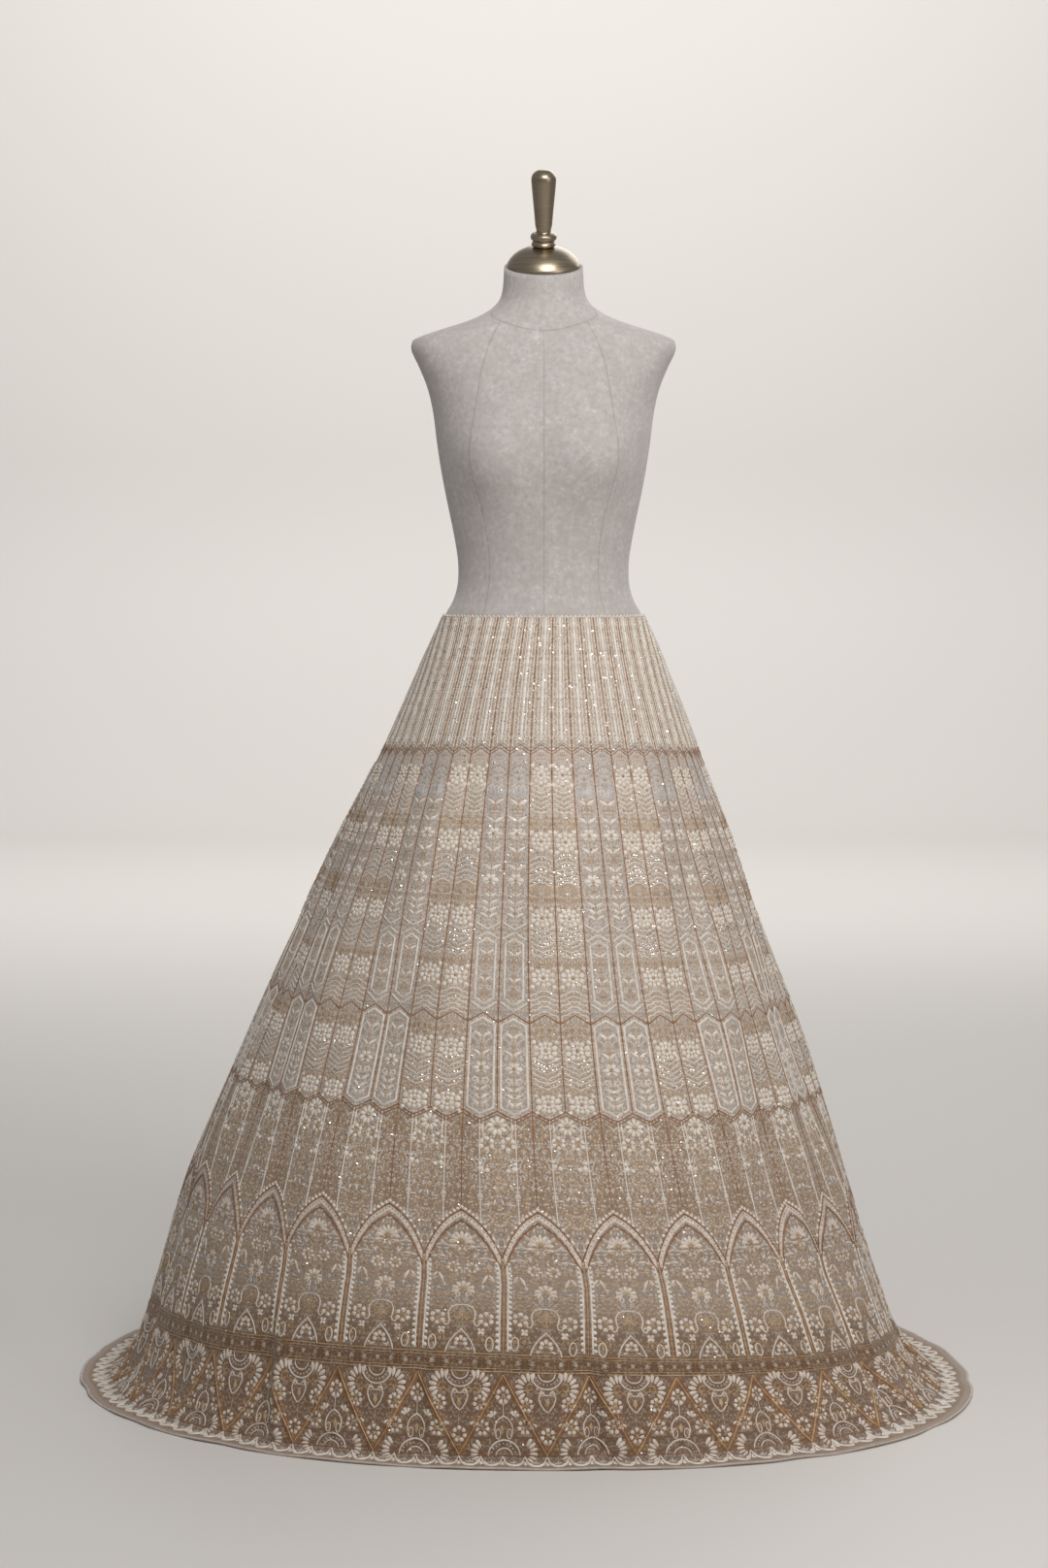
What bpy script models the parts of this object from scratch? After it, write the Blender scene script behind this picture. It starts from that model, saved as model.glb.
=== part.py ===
"""A lehenga skirt worn on a limbless dress form with its stand.

Metres, +Z up. The front of the skirt faces -Y. The form's axis is Z, and the
origin is on the floor under the middle of the stand's base.

The skirt is cut in panels called kalis. A point of the cloth is named by its
turn, the angle round the waist counted from the front towards +X, and by its
run, the distance along the cloth down from the waist edge.
"""

import math
from collections import namedtuple

import bmesh
import bpy

# Panels and the wall of the cloth
KALIS = 15
KALI_DEG = 360 / KALIS
FIRST_SEAM_DEG = 9.5
COLUMNS_PER_KALI = 8
CLOTH_THICKNESS = 0.002
SEAM_GAP = 0.0003
SEAT_GAP = 0.0003

# One row for each level of the skirt, from the waist edge to the hem, on the
# inner face of the cloth. The front hangs a little higher and steeper than the
# sides, which spread on the floor.
Level = namedtuple("Level", "side_r side_z front_r front_z back_r")
SKIRT_LEVELS = [
    Level(0.1410, 1.0820, 0.1112, 1.0820, 0.0992),
    Level(0.1640, 1.0310, 0.1560, 1.0320, 0.1420),
    Level(0.1890, 0.9720, 0.2010, 0.9810, 0.1820),
    Level(0.2200, 0.8980, 0.2480, 0.9120, 0.2240),
    Level(0.2570, 0.8150, 0.2900, 0.8260, 0.2640),
    Level(0.2970, 0.7200, 0.3280, 0.7280, 0.3040),
    Level(0.3380, 0.6210, 0.3650, 0.6280, 0.3430),
    Level(0.3780, 0.5220, 0.4000, 0.5280, 0.3820),
    Level(0.4160, 0.4250, 0.4340, 0.4320, 0.4200),
    Level(0.4520, 0.3320, 0.4660, 0.3410, 0.4570),
    Level(0.4840, 0.2380, 0.4960, 0.2570, 0.4860),
    Level(0.5120, 0.1450, 0.5200, 0.1850, 0.5130),
    Level(0.5270, 0.0950, 0.5310, 0.1350, 0.5270),
    Level(0.5440, 0.0530, 0.5380, 0.0860, 0.5460),
    Level(0.5680, 0.0180, 0.5410, 0.0390, 0.5710),
    Level(0.5980, 0.0000, 0.5450, 0.0040, 0.5970),
    Level(0.6320, 0.0000, 0.5660, 0.0000, 0.6260),
]

# The lower skirt hangs a little to one side of the form's axis, and lower on
# the other side down to the belt band, where it starts to turn out on the floor
HEM_SHIFT = -0.031
SHIFT_FULL_RUN = 0.95
SIDE_DROP = 0.022
DROP_FULL_RUN = 1.04
DROP_END_RUN = 1.14

# The waist sits turned on the form, and its back is drawn in by the drawstring
WAIST_TWIST_DEG = -9.0
TWIST_END_RUN = 0.95
WAIST_DRAW_IN = 0.62
DRAW_IN_FADE = 0.09
GATHER_DEPTH = 0.0035
GATHER_FADE = 0.13
GATHER_FROM_DEG = 55
GATHER_FULL_DEG = 110

# One row for each soft fold of the lower skirt, a valley that deepens from its
# top down to the belt band, and leans as it goes. The first row is the other
# way round, a wide swell where the cloth spreads furthest on the floor.
Fold = namedtuple("Fold", "at_deg lean_deg half_width_deg depth top_run")
FOLDS = [
    Fold(48.0, 0.0, 52.0, -0.055, 0.95),
    Fold(8.6, 2.5, 4.0, 0.008, 0.95),
    Fold(33.5, 2.0, 4.5, 0.010, 0.88),
    Fold(56.0, 1.0, 4.5, 0.009, 0.64),
    Fold(81.0, 1.5, 4.5, 0.010, 0.92),
    Fold(105.0, 1.0, 5.0, 0.010, 0.80),
    Fold(128.0, -1.0, 4.5, 0.008, 0.86),
    Fold(150.0, 1.0, 5.0, 0.011, 0.74),
    Fold(171.0, -1.0, 4.5, 0.008, 0.90),
    Fold(194.0, 1.0, 5.0, 0.010, 0.78),
    Fold(217.0, -1.5, 4.5, 0.009, 0.85),
    Fold(241.0, 1.0, 5.0, 0.011, 0.80),
    Fold(263.0, -1.0, 4.5, 0.008, 0.92),
    Fold(284.0, -1.5, 4.5, 0.009, 0.80),
    Fold(302.0, -1.0, 4.5, 0.006, 0.86),
    Fold(320.6, -2.5, 4.5, 0.009, 0.90),
    Fold(345.0, -1.0, 4.5, 0.005, 1.00),
]
FOLD_FULL_RUN = 0.30
# Folds relax from the run where the cloth nears the floor
FLOOR_RUN = 1.09
FLOOR_FADE = 0.09
FOLD_LEFT_ON_FLOOR = 0.45

# Binding that closes the raw top edge of the skirt
BINDING_RADIUS = 0.002
BINDING_SIDES = 6

# Torso of the form, one row for each level: half its width, its depth in front
# of the axis and behind it, and how square the section is
Torso = namedtuple("Torso", "z half_width front back square")
TORSO_LEVELS = [
    Torso(0.8400, 0.1640, 0.1180, 0.1220, 2.10),
    Torso(0.8900, 0.1705, 0.1200, 0.1290, 2.10),
    Torso(0.9400, 0.1690, 0.1200, 0.1280, 2.10),
    Torso(0.9900, 0.1605, 0.1185, 0.1200, 2.05),
    Torso(1.0400, 0.1495, 0.1150, 0.1080, 2.00),
    Torso(1.0820, 0.1403, 0.1105, 0.0985, 2.00),
    Torso(1.1050, 0.1285, 0.1040, 0.0920, 2.00),
    Torso(1.1250, 0.1225, 0.0995, 0.0880, 2.00),
    Torso(1.1450, 0.1208, 0.0980, 0.0870, 2.00),
    Torso(1.1700, 0.1222, 0.0985, 0.0880, 2.00),
    Torso(1.2100, 0.1292, 0.1020, 0.0940, 2.05),
    Torso(1.2500, 0.1375, 0.1070, 0.1000, 2.10),
    Torso(1.2900, 0.1450, 0.1120, 0.1050, 2.15),
    Torso(1.3300, 0.1510, 0.1140, 0.1080, 2.20),
    Torso(1.3700, 0.1560, 0.1090, 0.1100, 2.30),
    Torso(1.4050, 0.1640, 0.1000, 0.1095, 2.50),
    Torso(1.4350, 0.1760, 0.0900, 0.1060, 2.70),
    Torso(1.4580, 0.1865, 0.0810, 0.0990, 2.70),
    Torso(1.4720, 0.1850, 0.0750, 0.0930, 2.60),
    Torso(1.4840, 0.1560, 0.0700, 0.0860, 2.50),
    Torso(1.4970, 0.1150, 0.0660, 0.0790, 2.30),
    Torso(1.5100, 0.0850, 0.0625, 0.0710, 2.15),
    Torso(1.5250, 0.0655, 0.0590, 0.0640, 2.05),
    Torso(1.5430, 0.0580, 0.0560, 0.0590, 2.00),
    Torso(1.5760, 0.0556, 0.0556, 0.0556, 2.00),
]
NECK_TILT_DEG = 17
NECK_TILT_FROM_Z = 1.4970
TORSO_COLUMNS = 60
BUST_TURN_DEG = 33
BUST_SPREAD_DEG = 24
BUST_Z = 1.300
BUST_SPREAD_UP = 0.062
BUST_SPREAD_DOWN = 0.056
BUST_RISE = 0.021

# Neck cap, finial and stand: each is a turned outline of (radius, height)
# points, down the outer side from the top of the axis
NECK_TOP = TORSO_LEVELS[-1].z
CAP_OUTLINE = [
    (0.0000, 0.0280),
    (0.0150, 0.0280),
    (0.0200, 0.0272),
    (0.0300, 0.0241),
    (0.0390, 0.0190),
    (0.0455, 0.0132),
    (0.0500, 0.0070),
    (0.0518, 0.0030),
    (0.0520, 0.0010),
    (0.0510, 0.0000),
    (0.0000, 0.0000),
]
FINIAL_OUTLINE = [
    (0.0000, 0.1092),
    (0.0070, 0.1082),
    (0.0126, 0.1054),
    (0.0163, 0.1010),
    (0.0175, 0.0955),
    (0.0172, 0.0890),
    (0.0161, 0.0760),
    (0.0138, 0.0520),
    (0.0120, 0.0310),
    (0.0112, 0.0205),
    (0.0150, 0.0196),
    (0.0178, 0.0172),
    (0.0185, 0.0142),
    (0.0178, 0.0110),
    (0.0155, 0.0086),
    (0.0160, 0.0064),
    (0.0172, 0.0044),
    (0.0168, 0.0020),
    (0.0140, 0.0000),
    (0.0000, 0.0000),
]
BASE_RADIUS = 0.170
BASE_OUTLINE = [
    (0.0000, 0.0600),
    (0.0210, 0.0600),
    (0.0230, 0.0580),
    (0.0240, 0.0300),
    (0.0320, 0.0230),
    (0.1000, 0.0150),
    (BASE_RADIUS - 0.008, 0.0110),
    (BASE_RADIUS, 0.0070),
    (BASE_RADIUS, 0.0000),
    (0.0000, 0.0000),
]
BASE_TOP = BASE_OUTLINE[0][1]
POLE_RADIUS = 0.0125
TURNED_STEPS = 32

# Colours are linear red, green and blue
EMBROIDERED_NET = ("embroidered net", (0.40, 0.32, 0.26), 0.8, 0.0)
CREAM_BINDING = ("cream cord binding", (0.62, 0.55, 0.47), 0.7, 0.0)
LINEN_COVER = ("grey linen cover", (0.47, 0.44, 0.42), 0.9, 0.0)
CHAMPAGNE_METAL = ("champagne lacquered metal", (0.46, 0.37, 0.27), 0.3, 1.0)
STEEL_TUBE = ("brushed steel tube", (0.55, 0.55, 0.55), 0.35, 1.0)
BLACK_IRON = ("black enamelled iron", (0.03, 0.03, 0.03), 0.5, 0.0)


def empty_scene():
    """Removes what the startup file holds."""
    for obj in list(bpy.data.objects):
        bpy.data.objects.remove(obj, do_unlink=True)
    collection = bpy.data.collections.new("lehenga_on_dress_form")
    bpy.context.scene.collection.children.link(collection)
    return collection


def material(finish):
    """A plain Principled material from a finish's name, colour, roughness and metallic."""
    name, colour, roughness, metallic = finish
    made = bpy.data.materials.get(name) or bpy.data.materials.new(name)
    made.use_nodes = True
    shader = made.node_tree.nodes["Principled BSDF"]
    shader.inputs["Base Color"].default_value = (*colour, 1.0)
    shader.inputs["Roughness"].default_value = roughness
    shader.inputs["Metallic"].default_value = metallic
    made.diffuse_color = (*colour, 1.0)
    return made


def add_object(collection, name, mesh, finish, smooth_deg=40):
    """Links a mesh as a named object with its finish, smooth but for sharp edges."""
    mesh.materials.append(material(finish))
    mesh.shade_smooth()
    mesh.set_sharp_from_angle(angle=math.radians(smooth_deg))
    obj = bpy.data.objects.new(name, mesh)
    collection.objects.link(obj)
    return obj


def section_radius(turn, half_width, front, back, square=2.0):
    """Radius of an oval section at a turn from the front, in radians."""
    depth = front if math.cos(turn) > 0 else back
    across = abs(math.sin(turn) / half_width) ** square
    along = abs(math.cos(turn) / depth) ** square
    return (across + along) ** (-1 / square)


def place(turn, radius, z):
    """The point at a turn from the front (-Y) towards +X."""
    return (radius * math.sin(turn), -radius * math.cos(turn), z)


def runs_of(levels):
    """Distance along the cloth from the waist edge to each level, down the side."""
    runs = [0.0]
    for above, below in zip(levels, levels[1:]):
        step = math.hypot(below.side_r - above.side_r, below.side_z - above.side_z)
        runs.append(runs[-1] + step)
    return runs


RUNS = runs_of(SKIRT_LEVELS)
HEM_RUN = RUNS[-1]


def worn_turn(turn, run):
    """Where a cut panel's turn ends up on the form, in radians."""
    twist = math.radians(WAIST_TWIST_DEG) * max(1 - run / TWIST_END_RUN, 0.0)
    draw_in = WAIST_DRAW_IN * math.exp(-run / DRAW_IN_FADE)
    return turn + twist + draw_in * math.sin(turn)


def gather_rise(turn, run, column):
    """How far a gather lifts the cloth: each strip of the back is one small pleat."""
    if column % 2 == 0:
        return 0.0
    from_front = abs(math.degrees(math.remainder(turn, math.tau)))
    share = (from_front - GATHER_FROM_DEG) / (GATHER_FULL_DEG - GATHER_FROM_DEG)
    share = min(max(share, 0.0), 1.0)
    return GATHER_DEPTH * share * math.exp(-((run / GATHER_FADE) ** 2))


def smooth_share(value):
    """A share from 0 to 1 that starts and ends gently."""
    value = min(max(value, 0.0), 1.0)
    return value * value * (3 - 2 * value)


def side_drop(worn, run):
    """How far the level sinks on the side that hangs lower. It rises on the other."""
    fade = (DROP_END_RUN - run) / (DROP_END_RUN - DROP_FULL_RUN)
    share = min(smooth_share(run / DROP_FULL_RUN), min(max(fade, 0.0), 1.0))
    return SIDE_DROP * share * math.sin(worn)


def hung_place(worn, radius, z, run):
    """The point of the cloth, moved aside and down as the lower skirt hangs."""
    x, y, z = place(worn, radius, z)
    return (x + HEM_SHIFT * smooth_share(run / SHIFT_FULL_RUN), y, z)


def fold_depth(turn, run):
    """How deep the folds sink at a turn and run. They relax where they meet the floor."""
    relaxed = smooth_share((run - FLOOR_RUN) / FLOOR_FADE)
    left = 1 - (1 - FOLD_LEFT_ON_FLOOR) * relaxed
    depth = 0.0
    for fold in FOLDS:
        share = (run - fold.top_run) / FOLD_FULL_RUN
        if share <= 0:
            continue
        centre = math.radians(fold.at_deg + fold.lean_deg * share)
        away = abs(math.degrees(math.remainder(turn - centre, math.tau)))
        if away < fold.half_width_deg:
            valley = 0.5 + 0.5 * math.cos(math.pi * away / fold.half_width_deg)
            if fold.depth > 0:
                valley *= left
            depth += fold.depth * min(share, 1.0) * valley
    return depth


def level_on(index, worn):
    """Radius and height of a level of the inner face at a worn turn, with no folds."""
    level = SKIRT_LEVELS[index]
    radius = section_radius(worn, level.side_r, level.front_r, level.back_r)
    front_share = max(math.cos(worn), 0.0) ** 2
    return radius, level.side_z + (level.front_z - level.side_z) * front_share


def outward(index, worn):
    """The cloth's outward direction in the plane through the axis: radial, up."""
    last = len(SKIRT_LEVELS) - 1
    upper_r, upper_z = level_on(max(index - 1, 0), worn)
    lower_r, lower_z = level_on(min(index + 1, last), worn)
    slope = math.hypot(lower_r - upper_r, upper_z - lower_z)
    if index == last:
        return 0.0, 1.0
    return (upper_z - lower_z) / slope, (lower_r - upper_r) / slope


def kali_wall(index, turn, column, aside):
    """Inner and outer point of the wall. aside moves both along the seam's width."""
    run = RUNS[index]
    worn = worn_turn(turn, run)
    radius, z = level_on(index, worn)
    radius += gather_rise(turn, run, column) - fold_depth(turn, run)
    z -= side_drop(worn, run)
    worn += aside / radius
    out_r, out_z = outward(index, worn)
    inner = hung_place(worn, radius, z, run)
    outer_r, outer_z = radius + CLOTH_THICKNESS * out_r, z + CLOTH_THICKNESS * out_z
    return inner, hung_place(worn, outer_r, outer_z, run)


def kali_mesh(number):
    """One panel of the skirt, from seam to seam and from the waist to the hem."""
    start = FIRST_SEAM_DEG + KALI_DEG * number
    work = bmesh.new()
    inner, outer = [], []
    for index in range(len(SKIRT_LEVELS)):
        inner_row, outer_row = [], []
        for column in range(COLUMNS_PER_KALI + 1):
            turn = math.radians(start + KALI_DEG * column / COLUMNS_PER_KALI)
            aside = 0.0
            if column == 0:
                aside = SEAM_GAP / 2
            if column == COLUMNS_PER_KALI:
                aside = -SEAM_GAP / 2
            inside, outside = kali_wall(index, turn, column, aside)
            inner_row.append(work.verts.new(inside))
            outer_row.append(work.verts.new(outside))
        inner.append(inner_row)
        outer.append(outer_row)
    add_wall_faces(work, inner, outer)
    return finished_mesh(work, f"kali_{number + 1:02d}")


def add_wall_faces(work, inner, outer):
    """Both faces of a wall and the rim all round it."""
    rows, columns = len(inner) - 1, len(inner[0]) - 1
    for i in range(rows):
        for j in range(columns):
            work.faces.new(
                (outer[i][j], outer[i + 1][j], outer[i + 1][j + 1], outer[i][j + 1])
            )
            work.faces.new(
                (inner[i][j], inner[i][j + 1], inner[i + 1][j + 1], inner[i + 1][j])
            )
    for i in range(rows):
        for j, edge in ((0, 1), (columns, -1)):
            rim = (inner[i][j], inner[i + 1][j], outer[i + 1][j], outer[i][j])
            work.faces.new(rim[::edge])
    for j in range(columns):
        for i, edge in ((0, -1), (rows, 1)):
            rim = (inner[i][j], inner[i][j + 1], outer[i][j + 1], outer[i][j])
            work.faces.new(rim[::edge])


def finished_mesh(work, name):
    """The bmesh as a mesh with its faces pointing out."""
    bmesh.ops.recalc_face_normals(work, faces=work.faces)
    mesh = bpy.data.meshes.new(name)
    work.to_mesh(mesh)
    work.free()
    return mesh


def loft(rings, name, closed_on_itself=False):
    """A closed skin through rings of equal length, with flat ends unless it closes."""
    work = bmesh.new()
    rows = [[work.verts.new(point) for point in ring] for ring in rings]
    pairs = list(zip(rows, rows[1:]))
    if closed_on_itself:
        pairs.append((rows[-1], rows[0]))
    else:
        work.faces.new(rows[0])
        work.faces.new(rows[-1])
    for lower, upper in pairs:
        count = len(lower)
        for j in range(count):
            k = (j + 1) % count
            work.faces.new((lower[j], lower[k], upper[k], upper[j]))
    return finished_mesh(work, name)


def waist_binding_mesh():
    """A fine cord ring seated on the top edge of all the kalis."""
    waist = SKIRT_LEVELS[0]
    rings = []
    count = KALIS * COLUMNS_PER_KALI
    for j in range(count):
        turn = math.radians(FIRST_SEAM_DEG + 360 * j / count)
        worn = worn_turn(turn, 0.0)
        radius, _ = level_on(0, worn)
        out_r, out_z = outward(0, worn)
        middle_r = radius + gather_rise(turn, 0.0, 1) / 2 + CLOTH_THICKNESS / 2
        rim_top = waist.side_z + CLOTH_THICKNESS * out_z
        middle_z = rim_top + SEAT_GAP + BINDING_RADIUS
        ring = []
        for side in range(BINDING_SIDES):
            angle = math.tau * (side + 0.5) / BINDING_SIDES
            reach_r = BINDING_RADIUS * math.sin(angle)
            reach_z = BINDING_RADIUS * math.cos(angle)
            ring.append(place(worn, middle_r + reach_r, middle_z + reach_z))
        rings.append(ring)
    return loft(rings, "waist_binding", closed_on_itself=True)


def bust_rise(turn, z):
    """How far the bust carries the torso's front out, at two places alike."""
    spread_z = BUST_SPREAD_UP if z > BUST_Z else BUST_SPREAD_DOWN
    height = math.exp(-(((z - BUST_Z) / spread_z) ** 2))
    rise = 0.0
    for side in (-1, 1):
        away = math.degrees(math.remainder(turn, math.tau)) - side * BUST_TURN_DEG
        rise += math.exp(-((away / BUST_SPREAD_DEG) ** 2))
    return BUST_RISE * height * rise


def torso_mesh():
    """The form's body from its flat underside to the flat top of its neck."""
    rings = []
    for level in TORSO_LEVELS:
        up_neck = (level.z - NECK_TILT_FROM_Z) / (NECK_TOP - NECK_TILT_FROM_Z)
        slope = math.tan(math.radians(NECK_TILT_DEG)) * max(up_neck, 0.0)
        ring = []
        for j in range(TORSO_COLUMNS):
            turn = math.tau * j / TORSO_COLUMNS
            radius = section_radius(
                turn, level.half_width, level.front, level.back, level.square
            )
            x, y, z = place(turn, radius + bust_rise(turn, level.z), level.z)
            ring.append((x, y, z + slope * y))
        rings.append(ring)
    return loft(rings, "form_torso")


def add_turned(collection, name, outline, foot, finish, tilt_deg=0.0):
    """A body turned round its axis from an outline, with its foot at a place."""
    mesh = bpy.data.meshes.new(name)
    points = [(radius, 0.0, z) for radius, z in outline]
    edges = [(i, i + 1) for i in range(len(points) - 1)]
    mesh.from_pydata(points, edges, [])
    obj = add_object(collection, name, mesh, finish)
    obj.location = foot
    obj.rotation_euler.x = math.radians(tilt_deg)
    turn = obj.modifiers.new("turn", "SCREW")
    turn.axis = "Z"
    turn.angle = math.tau
    turn.steps = TURNED_STEPS
    turn.render_steps = TURNED_STEPS
    turn.use_merge_vertices = True
    turn.merge_threshold = 0.00005
    turn.use_smooth_shade = True
    return obj


def add_on_neck(collection, name, outline, rise):
    """A turned body that stands on the neck's tilted top, a rise above it."""
    tilt = math.radians(NECK_TILT_DEG)
    foot = (0.0, -rise * math.sin(tilt), NECK_TOP + rise * math.cos(tilt))
    return add_turned(collection, name, outline, foot, CHAMPAGNE_METAL, NECK_TILT_DEG)


def main():
    parts = empty_scene()
    for number in range(KALIS):
        mesh = kali_mesh(number)
        add_object(parts, mesh.name, mesh, EMBROIDERED_NET)
    add_object(parts, "waist_binding", waist_binding_mesh(), CREAM_BINDING)
    add_object(parts, "form_torso", torso_mesh(), LINEN_COVER)
    add_on_neck(parts, "form_neck_cap", CAP_OUTLINE, SEAT_GAP)
    cap_top = SEAT_GAP + CAP_OUTLINE[0][1]
    add_on_neck(parts, "form_finial", FINIAL_OUTLINE, cap_top + SEAT_GAP)
    pole_foot = BASE_TOP + SEAT_GAP
    pole_length = TORSO_LEVELS[0].z - SEAT_GAP - pole_foot
    pole_outline = [
        (0.0, pole_length),
        (POLE_RADIUS, pole_length),
        (POLE_RADIUS, 0.0),
        (0.0, 0.0),
    ]
    add_turned(parts, "stand_pole", pole_outline, (0.0, 0.0, pole_foot), STEEL_TUBE)
    add_turned(parts, "stand_base", BASE_OUTLINE, (0.0, 0.0, 0.0), BLACK_IRON)


main()
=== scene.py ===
"""The looks of an embroidered lehenga skirt on a limbless dress form.

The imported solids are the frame. The skirt's cloth is one fine shell over the same
sections as the solids. Its embroidery is raised thread: each motif is drawn once, in
millimetres, and then laid on every strip of the cloth.
"""

import math

import bpy
import numpy as np
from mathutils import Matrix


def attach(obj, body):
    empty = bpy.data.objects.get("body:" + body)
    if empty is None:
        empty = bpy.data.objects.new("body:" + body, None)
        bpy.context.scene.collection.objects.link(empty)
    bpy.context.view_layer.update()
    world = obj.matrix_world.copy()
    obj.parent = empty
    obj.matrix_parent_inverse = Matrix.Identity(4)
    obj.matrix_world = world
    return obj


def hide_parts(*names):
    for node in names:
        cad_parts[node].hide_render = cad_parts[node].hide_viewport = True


MM = 0.001

# The camera of the photograph, found from the form's height and the hem on the floor.
CAMERA_PLACE = (-0.0276, -5.0, 1.172)
CAMERA_DOWN_DEG = 3.75
PHOTO_HEIGHT_PX = 1616
FOCAL_PX = 3623
SENSOR_MM = 36

# The skirt: 15 kalis of four strips each. Strip places count from the first seam, so
# kalis begin at 0, 4, 8 and so on, and a strip's own middle is at a half.
STRIPS = 60
STRIPS_PER_KALI = 4
STRIP_DEG = 360 / STRIPS
FIRST_SEAM_DEG = 9.5
CLOTH_THICKNESS = 2 * MM
STRIP_PUFF = 0.9 * MM

# Sections of the cloth's inner face from the waist down and out along the floor, in
# metres: side radius and height, front radius and height, back radius.
SECTIONS = np.array([
    (0.1410, 1.0820, 0.1112, 1.0820, 0.0992),
    (0.1640, 1.0310, 0.1560, 1.0320, 0.1420),
    (0.1890, 0.9720, 0.2010, 0.9810, 0.1820),
    (0.2200, 0.8980, 0.2480, 0.9120, 0.2240),
    (0.2570, 0.8150, 0.2900, 0.8260, 0.2640),
    (0.2970, 0.7200, 0.3280, 0.7280, 0.3040),
    (0.3380, 0.6210, 0.3650, 0.6280, 0.3430),
    (0.3780, 0.5220, 0.4000, 0.5280, 0.3820),
    (0.4160, 0.4250, 0.4340, 0.4320, 0.4200),
    (0.4520, 0.3320, 0.4660, 0.3410, 0.4570),
    (0.4840, 0.2380, 0.4960, 0.2570, 0.4860),
    (0.5120, 0.1450, 0.5200, 0.1850, 0.5130),
    (0.5270, 0.0950, 0.5310, 0.1350, 0.5270),
    (0.5440, 0.0530, 0.5380, 0.0860, 0.5460),
    (0.5680, 0.0180, 0.5410, 0.0390, 0.5710),
    (0.5980, 0.0000, 0.5450, 0.0040, 0.5970),
    (0.6320, 0.0000, 0.5660, 0.0000, 0.6260),
])
RUNS = np.concatenate([[0], np.cumsum(np.hypot(*np.diff(SECTIONS[:, :2], axis=0).T))])
HEM_RUN = RUNS[-1]

# How the skirt hangs: it is turned a little at the waist, drawn in there at the front,
# gathered over the back, and its lower part hangs to one side.
HEM_SHIFT = -0.031
SHIFT_FULL_RUN = 0.95
SIDE_DROP = 0.022
DROP_FULL_RUN = 1.04
DROP_END_RUN = 1.14
WAIST_TWIST_DEG = -9.0
TWIST_END_RUN = 0.95
WAIST_DRAW_IN = 0.62
DRAW_IN_FADE = 0.09
GATHER_DEPTH = 3.5 * MM
GATHER_FADE = 0.13
GATHER_FROM_DEG = 55
GATHER_FULL_DEG = 110
# Folds: place and lean in degrees, half width in degrees, depth, run at which it starts.
# The first is a broad swell outward, so its depth is less than nothing.
FOLDS = (
    (48, 0, 52, -0.055, 0.95), (8.6, 2.5, 4, 0.008, 0.95), (33.5, 2, 4.5, 0.010, 0.88),
    (56, 1, 4.5, 0.009, 0.64), (81, 1.5, 4.5, 0.010, 0.92), (105, 1, 5, 0.010, 0.80),
    (128, -1, 4.5, 0.008, 0.86), (150, 1, 5, 0.011, 0.74), (171, -1, 4.5, 0.008, 0.90),
    (194, 1, 5, 0.010, 0.78), (217, -1.5, 4.5, 0.009, 0.85), (241, 1, 5, 0.011, 0.80),
    (263, -1, 4.5, 0.008, 0.92), (284, -1.5, 4.5, 0.009, 0.80), (302, -1, 4.5, 0.006, 0.86),
    (320.6, -2.5, 4.5, 0.009, 0.90), (345, -1, 4.5, 0.005, 1.00),
)
FOLD_FULL_RUN = 0.30
FLOOR_RUN = 1.09
FLOOR_FADE = 0.09
FOLD_LEFT_ON_FLOOR = 0.45

# Soft unevenness of the hanging cloth: turns round the skirt, turns down it, start in
# radians, height. It is full from one run on and fades out before the floor.
RIPPLES = (
    (7, 2.1, 0.4, 2.6 * MM), (11, -1.3, 2.2, 2.3 * MM), (17, 2.4, 4.0, 2.0 * MM),
    (23, 1.7, 1.1, 1.6 * MM),
)
RIPPLE_FULL_RUN = 0.5
RIPPLE_FADE = 0.25

# Tucks: a fold in and a fold out beside each kali seam, which lean as they go down. Their
# depth is a mean and a part that differs from kali to kali.
TUCK_DEPTH = 6 * MM
TUCK_MEAN = 0.6
TUCK_SPREAD = 0.4
TUCK_KALI_TURN = 2.4
TUCK_HALF_DEG = 1.3
TUCK_LEAN_DEG = 2.0
TUCK_LEAN_RUN = 0.2
TUCK_FROM_RUN = 0.99
TUCK_GROW_RUN = 0.12
TUCK_END_RUN = 1.19
TUCK_FADE = 0.04

# The free edge on the floor ripples up a little.
HEM_WAVE = 0.6 * MM
HEM_WAVE_FROM_RUN = 1.15
HEM_WAVE_GROW_RUN = 0.06

# The strips puff less near the waist, and not at all at the hem.
PUFF_AT_WAIST = 0.4
PUFF_FULL_RUN = 0.3
PUFF_FADE = 0.2

# How far apart two points are taken to find the slope of the cloth between them.
SLOPE_STRIPS = 0.06
SLOPE_RUN = 3 * MM

# Where the embroidery's bands lie, as runs in millimetres.
YOKE_END = 199
YOKE_ZIGZAG = 10
MIDDLE_ZIGZAG = 572
LOWER_ZIGZAG = 702
ARCH_APEX = 840
ARCH_FOOT = 909
ARCH_LENGTH = 150
BELT_TOP = 1054
BELT_BOTTOM = 1075
BORDER_END = 1171
EMBROIDERY_END = 1203
HEM_WAVES_PER_ARCH = 4
HEM_WAVE_HANG = 27


def smooth_share(value):
    """A share from 0 to 1 that starts and ends gently."""
    value = np.clip(value, 0, 1)
    return value * value * (3 - 2 * value)


def off_front_deg(turn):
    """Degrees from the front, from 0 to 180."""
    return np.abs((np.degrees(turn) + 180) % 360 - 180)


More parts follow.
